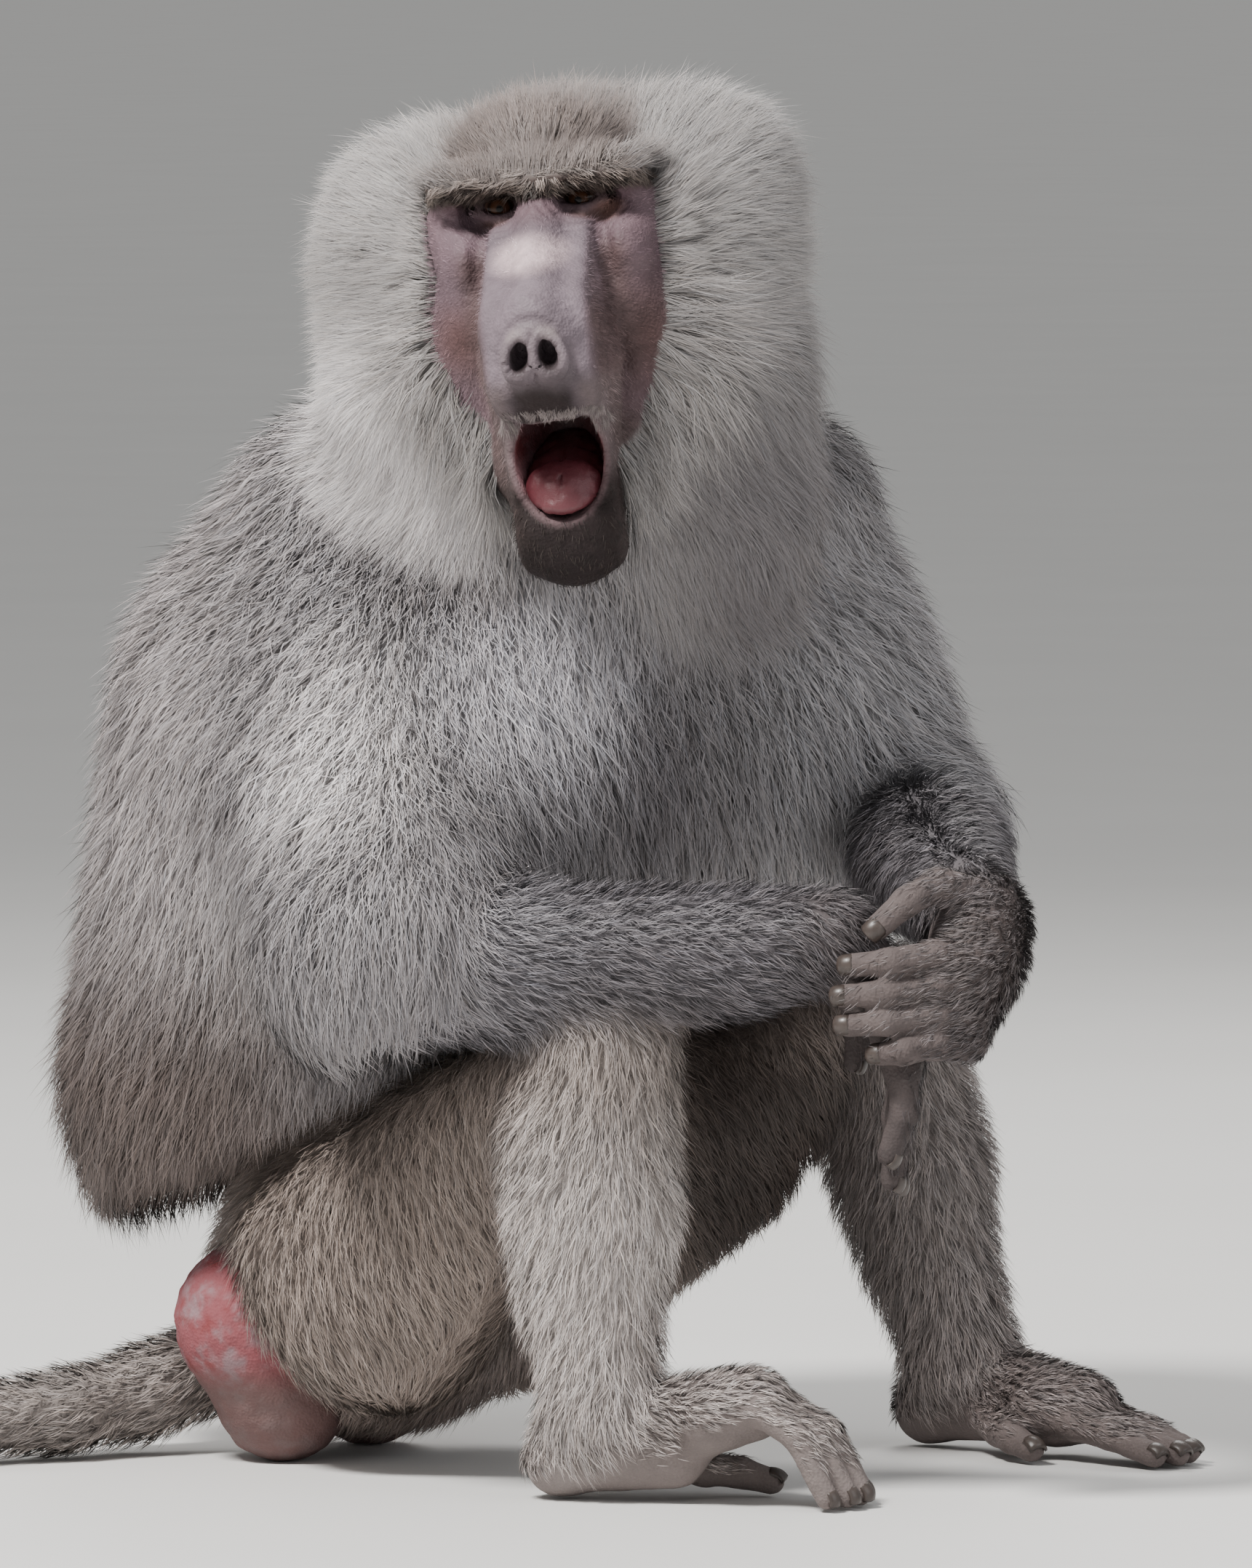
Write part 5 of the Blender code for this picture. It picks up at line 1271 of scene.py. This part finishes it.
def grow(name, density, count, length, spacing, width, long=False, clump=0.6, lift=0.12, end=(0.55, 1.0), curl=(0.0, 40.0), field=None, early=0.72, crimp=0.0,
         tips=1.25, roots=0.5, vary=0.16, salt=0.0, frizz=0.06, slot="body_fur", tint=None, depth=60.0, splay=0.3, most=1.06, bend=None):
    """Locks of hair: guides are walked over the coat's outline, and the hairs near a guide follow it and lean to its tip.
    length is a function of the roots' places."""
    field = COAT_FIELD if field is None else field
    weight = density * TRI_AREA * (TRI_D < depth)
    total = weight.sum()
    if total <= 0:
        return
    count = int(count * STRANDS)
    pick = rng.choice(len(tris), count, p=weight / total)
    a, b = rng.random((2, count))
    a, b = np.where(a + b > 1, 1 - a, a), np.where(a + b > 1, 1 - b, b)
    bary = np.stack([1 - a - b, a, b], 1)[:, :, None]
    root = (points[tris[pick]] * bary).sum(1)
    normal = unit((NORMAL[tris[pick]] * bary).sum(1))
    w = (W[tris[pick]] * bary).sum(1)
    number = int(min(count, max(8, total / spacing**2)))
    # guides
    steps = 8
    g0, gn, gw = root[:number], normal[:number], w[:number]
    size = length(g0) * rng.uniform(0.82, 1.12, number)
    f0 = field.value(g0)
    share = end[0] + (end[1] - end[0]) * rng.random(number) ** 0.6
    rise = np.maximum(np.maximum(-f0, 0) * share, size * lift * rng.uniform(0.6, 1.3, number))
    path, ups = [g0], [gn]
    p = g0
    turn = rng.normal(0, splay * 0.35, number)[:, None]
    for i in range(steps):
        f, g = field.slope(p)
        if i == 0:
            g = unit(g + gn)
        way = flows(p, gw)
        if bend is not None:
            way = unit(way + bend)
        t = unit(way - (way * g).sum(1, keepdims=True) * g)
        t = unit(t + np.cross(t, g) * turn)
        q = p + t * (size / steps)[:, None]
        s = (i + 1) / steps
        want = f0 + rise * s**early
        f2, g2 = field.slope(q)
        q = q + np.clip(want - f2, -1.3 * size / steps, 1.3 * size / steps)[:, None] * g2
        path.append(q)
        ups.append(g2)
        p = q
    path, ups = np.stack(path, 1), np.stack(ups, 1)
    if curl[0] > 0:
        s = np.linspace(0, 1, steps + 1)[None, :, None]
        t = unit(np.gradient(path, axis=1))
        across = unit(np.cross(t, ups))
        phase = rng.uniform(0, 2 * math.pi, number)[:, None, None]
        wave = 2 * math.pi * s * (size[:, None, None] / (curl[1] * rng.uniform(0.8, 1.25, number)[:, None, None])) + phase
        amp = curl[0] * rng.uniform(0.4, 1.5, number)[:, None, None]
        path = path + amp * s**0.8 * (np.sin(wave) * across + 0.45 * np.cos(wave) * ups)
    low = np.minimum(path[..., 2], root[:number, None, 2])
    path[..., 2] = np.where(path[..., 2] < 1.0, 1.0 + 0.1 * (path[..., 2] - 1.0).clip(-5, 0), path[..., 2])
    # hairs
    tree = mathutils.kdtree.KDTree(number)
    for i, q in enumerate(g0.tolist()):
        tree.insert(q, i)
    tree.balance()
    own = np.array([tree.find(q)[1] for q in root.tolist()])
    lean = clump * rng.uniform(0.6, 1.25, count)
    long_ = rng.uniform(0.68, most, count)
    marks = np.array([0.0, 0.40, 0.72, 1.0] if long else [0.0, 0.52, 1.0])
    k_ = len(marks)
    at = np.clip(marks[None] * long_[:, None], 0, 1) * steps
    i0 = np.minimum(at.astype(int), steps - 1)
    frac = (at - i0)[..., None]
    line = path[own[:, None], i0] * (1 - frac) + path[own[:, None], i0 + 1] * frac
    over = (np.maximum(marks[None] * long_[:, None] - 1, 0) * size[own][:, None])[..., None]
    line = line + over * unit(path[own, steps] - path[own, steps - 1])[:, None]
    up = unit(ups[own[:, None], i0])
    offset = root - g0[own]
    pull = np.clip(lean[:, None] * marks[None] ** 0.8, 0, 0.97)[..., None]
    wild = rng.normal(0, 1, (count, 1, 3)) * (frizz * size[own])[:, None, None] * (marks[None, :, None] ** 1.3)
    line = line + offset[:, None] * (1 - pull) + wild
    line[:, 1:] += rng.normal(0, 1, (count, k_ - 1, 3)) * crimp
    line[:, 0] = root - normal * 0.7
    line[..., 2] = np.maximum(line[..., 2], 0.9)
    t = unit(np.gradient(line, axis=1))
    across = unit(np.cross(t, up))
    roll = rng.normal(0, 0.42, count)[:, None, None]
    blade = np.cross(across, t)
    across, blade = across * np.cos(roll) + blade * np.sin(roll), blade * np.cos(roll) - across * np.sin(roll)
    k = len(marks)
    wide = (width(root)[:, None] if callable(width) else width) * WIDER * rng.uniform(0.7, 1.3, count)[:, None] * np.array([0.8, 1.0, 0.72, 0.0] if long else [0.85, 0.85, 0.0])[None] / 2
    left_, right_ = line - across * wide[..., None], line + across * wide[..., None]
    verts = np.concatenate([np.stack([left_[:, i], right_[:, i]], 1) for i in range(k - 1)] + [line[:, -1:]], 1)
    per = 2 * (k - 1) + 1
    # colours
    base = coat_colour(root, w)
    if tint is not None:
        base = tint(root, w, base)
    lock = np.exp(rng.normal(0, vary, number))[own]
    hair = np.exp(rng.normal(0, vary * 0.8, count))
    if salt > 0:
        hair = hair * np.where(rng.random(count) < 0.45, 1 - salt, 1 + salt)
    shade = roots + (tips - roots) * marks**0.8
    warm = 1 + 0.018 * rng.normal(0, 1, count)[:, None] * vec(1, 0, -1)
    col_ = np.clip(base * warm * (lock * hair)[:, None], 0.003, 0.9)
    col_ = np.clip(col_[:, None] * shade[None, :, None], 0.002, 0.92)
    cols = np.concatenate([np.repeat(col_[:, i : i + 1], 2, 1) for i in range(k - 1)] + [col_[:, -1:]], 1)
    norm = unit(0.72 * up + 0.28 * blade + 0.25 * normal[:, None])
    norms = np.concatenate([np.repeat(norm[:, i : i + 1], 2, 1) for i in range(k - 1)] + [norm[:, -1:]], 1)
    # the unwrap: a small patch for each hair at its root's place
    r_row, n_row = row(root), normal @ TO_ROW.T
    return dict(name=name, verts=verts, cols=cols, norms=norms, per=per, k=k, root=r_row, rn=n_row, slot=slot, home=root)


def build(name, hairs, where=None):
    """One piece from sets of hairs, all or those picked."""
    p_, c_, n_, f3, uv3, f4, uv4, base = [], [], [], [], [], [], [], 0
    lo = np.min([h["root"][w_].min(0) for h, w_ in hairs if w_.any()], axis=0)
    hi = np.max([h["root"][w_].max(0) for h, w_ in hairs if w_.any()], axis=0)
    for h, w_ in hairs:
        if not w_.any():
            continue
        per, k, m_ = h["per"], h["k"], int(w_.sum())
        p_.append(h["verts"][w_].reshape(-1, 3))
        c_.append(h["cols"][w_].reshape(-1, 3))
        n_.append(h["norms"][w_].reshape(-1, 3))
        uv = box_unwrap(h["root"][w_], h["rn"][w_], lo, hi)
        spot = []
        for i in range(k - 1):
            for side in (-1, 1):
                spot.append((side * 0.0014, 0.0029 * i / (k - 1)))
        spot.append((0.0, 0.0029))
        spot = np.array(spot)
        first = base + np.arange(m_) * per
        for i in range(k - 2):
            loc = [2 * i, 2 * i + 1, 2 * i + 3, 2 * i + 2]
            f4.append(first[:, None] + np.array(loc)[None])
            uv4.append(uv[:, None] + spot[loc][None])
        loc = [2 * (k - 2), 2 * (k - 2) + 1, 2 * (k - 1)]
        f3.append(first[:, None] + np.array(loc)[None])
        uv3.append(uv[:, None] + spot[loc][None])
        base += m_ * per
    verts, cols, norms = np.concatenate(p_), np.concatenate(c_), np.concatenate(n_)
    f4, f3, uv4, uv3 = np.concatenate(f4), np.concatenate(f3), np.concatenate(uv4), np.concatenate(uv3)
    ob = make_object(name, row(verts), [f4, f3])
    attribute(ob, "Col", "FLOAT_COLOR", cols)
    attribute(ob, "Rise", "FLOAT_VECTOR", norms @ TO_ROW.T)
    layer = ob.data.uv_layers.new(name="OFBake")
    flat = np.concatenate([uv4[:, ::-1].reshape(-1, 2), uv3[:, ::-1].reshape(-1, 2)]).astype(F32)
    layer.data.foreach_set("uv", flat.ravel())
    ob.data.normals_split_custom_set_from_vertices((norms @ TO_ROW.T).astype(F32))
    ob.data.materials.append(FUR)
    COAT.append((ob, hairs[0][0]["slot"]))
    print(name, "triangles", len(f4) * 2 + len(f3))
    return ob


m, bsdf, add, links, noise_at, scaled = material("fur")
col = add("ShaderNodeAttribute")
col.attribute_name = "Col"
links.new(times(add, links, col.outputs["Color"], scaled(noise_at(700, 2).outputs["Fac"], 0.80, 1.20)), bsdf.inputs["Base Color"])
links.new(scaled(noise_at(300, 2).outputs["Fac"], 0.50, 0.68), bsdf.inputs["Roughness"])
bsdf.inputs["Specular IOR Level"].default_value = 0.30
# a lock is thin: both of its faces are lit the way the coat faces
_rise = add("ShaderNodeAttribute")
_rise.attribute_name = "Rise"
_turned = add("ShaderNodeVectorTransform", vector_type="NORMAL", convert_from="OBJECT", convert_to="WORLD")
links.new(_rise.outputs["Vector"], _turned.inputs["Vector"])
links.new(_turned.outputs["Vector"], bsdf.inputs["Normal"])
FUR = m

_x, _y, _z = TRI_H.T
def outside_mouth(h):
    """0 in the room of the mouth, where no hair grows."""
    tilt = math.radians(-20)
    m = (h - vec(0, 42, -142)) @ np.array([[1, 0, 0], [0, math.cos(tilt), math.sin(tilt)], [0, -math.sin(tilt), math.cos(tilt)]]).T
    return (m[:, 0] / 23) ** 2 + (m[:, 1] / 58) ** 2 + (m[:, 2] / 27.5) ** 2 > 1.2


_edge = step_up(TRI_BARE, 0.02, 0.2) * (1 - step_up(TRI_BARE, 0.9, 0.995))


def mane_length(p):
    h = to_head(p)
    out = 36 + 10 * step_up(-h[:, 2], 30, 120) + 6 * step_up(h[:, 2], -10, 40)
    return out * (0.62 + 0.38 * step_up(-h[:, 1], 24, 70))


def cape_length(p):
    front = step_up(p[:, 1] + 0.3 * p[:, 0], 40, 130) * step_up(p[:, 2], 330, 420)
    out = 28 - 5 * front + 5 * step_up(-p[:, 2], -400, -280) + 3 * noise(p, 60, 71)
    return np.minimum(out, 18 + 1.25 * np.maximum(above_hem(p), 0))


def fixed(a, b, scale=40, seed=72):
    return lambda p: (a + b) / 2 + (b - a) / 2 * noise(p, scale, seed)


def head_length(p):
    h = to_head(p)
    side = np.maximum(step_up(np.abs(h[:, 0]), 30, 60), step_up(-h[:, 1], 20, 80))
    return 15 + 19 * side + 10 * step_up(-h[:, 2], -5, 25) + 8 * step_up(-h[:, 2], 70, 120)


_fur = _fur * outside_mouth(TRI_H)
HAIR = {}
_near_face = step_up(TRI_H[:, 1], -92, -34)
HAIR["mane"] = grow("mane", _fur * is_part("mane", "ear_r", "ear_l") * (0.65 + 2.9 * _near_face), 118000, mane_length, 4.6,
                    lambda p: 0.60 - 0.28 * step_up(to_head(p)[:, 1], -92, -34), clump=0.12, lift=0.25, end=(0.65, 1.05), curl=(1.0, 32), tips=1.22,
                    roots=0.74, vary=0.06, salt=0.10, frizz=0.12, slot="ruff", depth=52, splay=0.35, early=0.8, crimp=0.9)
HAIR["cape"] = grow("cape", _fur * is_part("cape") * (0.15 + 0.85 * step_up(above_hem(TRI_MID), 1, 12)), 160000, cape_length, 5.0, 0.60, clump=0.08, lift=0.2, end=(0.65, 1.05),
                    curl=(0.9, 22), tips=1.24, roots=0.74, vary=0.05, salt=0.15, frizz=0.14, slot="mantle", depth=46, splay=0.35, field=FREE_FIELD, early=0.8, crimp=1.5)
HAIR["head"] = grow("head", _fur * is_part("head") * (1.5 + 1.0 * step_up(_z, 0, 8)), 24000, head_length, 4.2, 0.36, clump=0.16, lift=0.3, end=(0.6, 1.05), tips=1.2,
                    roots=0.72, vary=0.10, salt=0.15, frizz=0.13, slot="ruff", depth=40, splay=0.5)
HAIR["body"] = grow("body", _fur * is_part("trunk", "thigh_r", "thigh_l", "callus_r", "callus_l"), 58000, fixed(17, 24), 4.6, 0.56, clump=0.1, lift=0.12, end=(0.75, 1.05),
                    tips=1.25, roots=0.7, vary=0.09, salt=0.2, frizz=0.10, crimp=0.7, depth=30, splay=0.4)
HAIR["shin"] = grow("shin", _fur * is_part("shin_r", "shin_l"), 33000, fixed(15, 21), 4.2, 0.5, clump=0.1, lift=0.12, end=(0.75, 1.1), tips=1.28,
                    roots=0.7, vary=0.09, salt=0.2, frizz=0.11, crimp=0.6, depth=26, splay=0.5)
HAIR["fore"] = grow("fore", _fur * is_part("fore_r", "fore_l"), 34000, fixed(12, 17), 4.0, 0.46, clump=0.12, lift=0.13, end=(0.75, 1.1), tips=1.35,
                    roots=0.62, vary=0.10, salt=0.42, frizz=0.11, crimp=0.5, slot="dark_fur", depth=26, splay=0.5)
HAIR["tail"] = grow("tail", _fur * is_part("tail"), 14000, fixed(15, 21), 4.2, 0.6, clump=0.38, lift=0.15, end=(0.6, 1.2), tips=1.25,
                    roots=0.7, vary=0.17, salt=0.3, frizz=0.1, depth=26, splay=0.5)
HAIR["foot"] = grow("foot", _fur * _palm * is_part("foot_r", "foot_l") * step_up(_from_tip, 14, 34), 13000, fixed(8, 12), 3.6, 0.45, clump=0.35, lift=0.14,
                    end=(0.7, 1.2), tips=1.25, roots=0.6, vary=0.2, salt=0.3, frizz=0.08, depth=20, splay=0.5)
HAIR["hand"] = grow("hand", _fur * _palm * is_part("hand_r", "hand_l") * (0.10 + 0.90 * step_up(_from_tip, 24, 52)), 10000, fixed(8, 12), 3.2, 0.42, clump=0.35, lift=0.12,
                    end=(0.7, 1.2), tips=1.3, roots=0.7, vary=0.2, salt=0.35, frizz=0.08, slot="dark_fur", depth=20, splay=0.5)

# the face: a pale fringe along the upper lip, down at the mask's edge, bristles on brow and chin
_lip = is_part("head") * (_y > 16) * step_up(-_z, 110, 114) * (1 - step_up(-_z, 120, 124)) * (np.abs(_x) < 28) * (TRI_N[:, 2] > -0.8) * outside_mouth(TRI_H)
HAIR["lip"] = grow("lip", _lip, 3000, fixed(7, 10, 9), 2.6, 0.17, clump=0.3, lift=0.06, end=(0.5, 0.8), tips=1.25, roots=0.6, vary=0.2, frizz=0.12, slot="ruff",
                   tint=lambda p, w, c: np.tile(vec(0.215, 0.182, 0.178), (len(p), 1)), splay=0.7, bend=HEAD_AXES.T @ vec(0, 0.5, -2.4))
_down = is_part("head", "mane") * _edge * (_z > -145) * outside_mouth(TRI_H)
HAIR["down"] = grow("down", _down, 16000, lambda p: 16 + 12 * step_up(-to_head(p)[:, 2], 0, 60) + 3 * noise(p, 12, 73), 4.0, 0.32, clump=0.15, lift=0.3, end=(0.6, 1.0), tips=1.2, roots=0.85, vary=0.08,
                    frizz=0.1, slot="ruff", splay=0.6)
# the brow hairs darker along the lower edge: painted shade of the brow's underside
_brow = is_part("head") * step_up(_z, -2, 1) * (1 - step_up(_z, 9, 14)) * (_y > -30)
HAIR["brow"] = grow("brow", _brow, 4200, fixed(7, 10, 9), 3.4, 0.4, clump=0.25, lift=0.32, end=(0.9, 1.1), tips=1.1, roots=0.9, vary=0.25, frizz=0.14, slot="ruff",
                    tint=lambda p, w, c: mix(np.tile(vec(0.085, 0.066, 0.056), (len(p), 1)), (0.20, 0.165, 0.15), step_up(to_head(p)[:, 2], 1, 7)), splay=0.9, bend=HEAD_AXES.T @ vec(0, 0.6, -0.9))
_chin = is_part("head") * step_up(-_z, 150, 172) * (_y > -20)
HAIR["chin"] = grow("chin", _chin, 1800, fixed(3.5, 6, 9), 3.6, 0.4, clump=0.3, lift=0.25, end=(1.0, 1.0), tips=1.2, roots=0.9, vary=0.3, frizz=0.12, slot="ruff",
                    tint=lambda p, w, c: np.tile(vec(0.026, 0.019, 0.017), (len(p), 1)), splay=0.8)
# short down on the bare cheeks and the sides of the muzzle
_cheek = is_part("head") * (TRI_BARE > 0.6) * (_z < -8) * (_z > -150) * (_y > -34) * (1 - 0.8 * step_up(_y, 40, 80)) * (0.25 + 0.75 * (np.abs(_x) > 27)) * (_y < 84)
HAIR["cheek"] = grow("cheek", _cheek, 9000, fixed(3, 5.5, 9), 3.0, 0.2, clump=0.1, lift=0.10, end=(1.0, 1.0), tips=1.25, roots=1.0, vary=0.2, frizz=0.12, slot="ruff",
                     tint=lambda p, w, c: skin_colour(p, w, np.ones(len(p)))[0] * 1.4 + 0.003, splay=0.6)
_lash = is_part("head") * step_up(_z, -5, -1) * (1 - step_up(_z, 4, 7)) * (_y > 0) * (np.abs(_x) < 52)
HAIR["lash"] = grow("lash", _lash, 1800, fixed(6, 9, 9), 3.0, 0.5, clump=0.4, lift=0.3, end=(1.0, 1.0), tips=1.2, roots=0.8, vary=0.25, frizz=0.12, slot="ruff",
                    tint=lambda p, w, c: np.tile(vec(0.030, 0.021, 0.018), (len(p), 1)), splay=0.6, bend=HEAD_AXES.T @ vec(0, 2.2, -1.3))


def all_of(h):
    return np.ones(len(h["home"]), bool)


def halves(h, angle0):
    a = np.arctan2(h["home"][:, 1] + 10, h["home"][:, 0] + 30) - angle0
    return (a % (2 * math.pi)) / (2 * math.pi)


_m = HAIR["mane"]
_side = to_head(_m["home"])[:, 0]
_side = _side > np.median(_side)
build("ruff_left", [(_m, _side)])
build("ruff_right", [(_m, ~_side)])
_c = HAIR["cape"]
_turn = halves(_c, 0.4)
_cuts = np.quantile(_turn, [0, 1 / 3, 2 / 3, 1.0])
for i, name in enumerate(("mantle_front", "mantle_back", "mantle_side")):
    build(name, [(_c, (_turn >= _cuts[i]) & ((_turn < _cuts[i + 1]) if i < 2 else True))])
build("coat_head", [(HAIR[n], all_of(HAIR[n])) for n in ("head", "lip", "down", "brow", "chin", "cheek", "lash")])
build("coat_haunch", [(HAIR["body"], all_of(HAIR["body"]))])
build("coat_shins", [(HAIR["shin"], all_of(HAIR["shin"]))])
build("coat_forearms", [(HAIR["fore"], all_of(HAIR["fore"])), (HAIR["hand"], all_of(HAIR["hand"]))])
build("coat_tail_feet", [(HAIR["tail"], all_of(HAIR["tail"])), (HAIR["foot"], all_of(HAIR["foot"]))])


# ---------------------------------------------------------------- pieces and nodes
FLESH = [n for n in (
    "head", "lower_jaw", "ear_right", "ear_left", "mane", "mantle", "chest", "belly", "pelvis", "callosity_right",
    "callosity_left", "upper_arm_right", "upper_arm_left", "forearm_right", "forearm_left", "hand_right", "hand_left",
    "thigh_right", "thigh_left", "shin_right", "shin_left", "foot_right", "foot_left", "tail_root", "tail_middle", "tail_tip",
)]
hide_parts(*FLESH)
for _o in [skin, CLAWS] + [o for o, _ in COAT]:
    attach(_o, "root")

# ---------------------------------------------------------------- floor, light, camera
m, bsdf, add, links, noise_at, scaled = material("floor")
_k = add("ShaderNodeValToRGB")
_k.color_ramp.elements[0].color = (0.72, 0.715, 0.705, 1)
_k.color_ramp.elements[1].color = (0.77, 0.765, 0.755, 1)
links.new(noise_at(3.0, 2).outputs["Fac"], _k.inputs["Fac"])
links.new(_k.outputs["Color"], bsdf.inputs["Base Color"])
bsdf.inputs["Roughness"].default_value = 0.8
bpy.ops.mesh.primitive_plane_add(size=400, location=(0, 0, -0.0004))
floor = bpy.context.object
floor.name = "floor"
floor.data.materials.append(m)

world = bpy.data.worlds.new("studio")
world.use_nodes = True
_bg = next(n for n in world.node_tree.nodes if n.type == "BACKGROUND")
_bg.inputs["Color"].default_value = (0.95, 0.95, 0.94, 1)
_bg.inputs["Strength"].default_value = 0.46
bpy.context.scene.world = world




def placed(ob, at, target):
    back = unit(at - target)
    left = unit(np.cross([0, 0, 1], back))
    up = np.cross(back, left)
    ob.matrix_world = mathutils.Matrix([[left[i], up[i], back[i], at[i]] for i in range(3)] + [[0, 0, 0, 1]])
    bpy.context.scene.collection.objects.link(ob)


def around(turn, height, far, target):
    """A place seen from the target: turn degrees to the right of the camera, height degrees up."""
    a, e = math.radians(turn), math.radians(height)
    return target + far * (TO_ROW @ vec(math.sin(a) * math.cos(e), math.cos(a) * math.cos(e), math.sin(e)))


def lamp(name, turn, height, far, size, power, colour):
    light = bpy.data.lights.new(name, "AREA")
    light.shape = "DISK"
    light.size = size
    light.energy = power
    light.color = colour
    target = np.array([0, 0, 0.38])
    placed(bpy.data.objects.new(name, light), around(turn, height, far, target), target)


lamp("key", -38, 52, 3.4, 0.8, 225, (1.0, 0.975, 0.94))
lamp("fill", 55, 22, 3.6, 2.4, 26, (0.96, 0.97, 1.0))
lamp("back", 170, 42, 3.4, 1.8, 60, (1.0, 0.98, 0.95))

_cam = bpy.data.cameras.new("camera")
camera = bpy.data.objects.new("camera", _cam)
FAR = 8.0
target = row(vec(38.7, 80.0, 366.5))
placed(camera, around(0, 3.5, FAR, target), target)
_cam.sensor_fit = "AUTO"
_cam.sensor_width = 36.0
_cam.lens = 18.0 / (0.830 / 2 / FAR)
_cam.clip_end = 400.0
bpy.context.scene.camera = camera
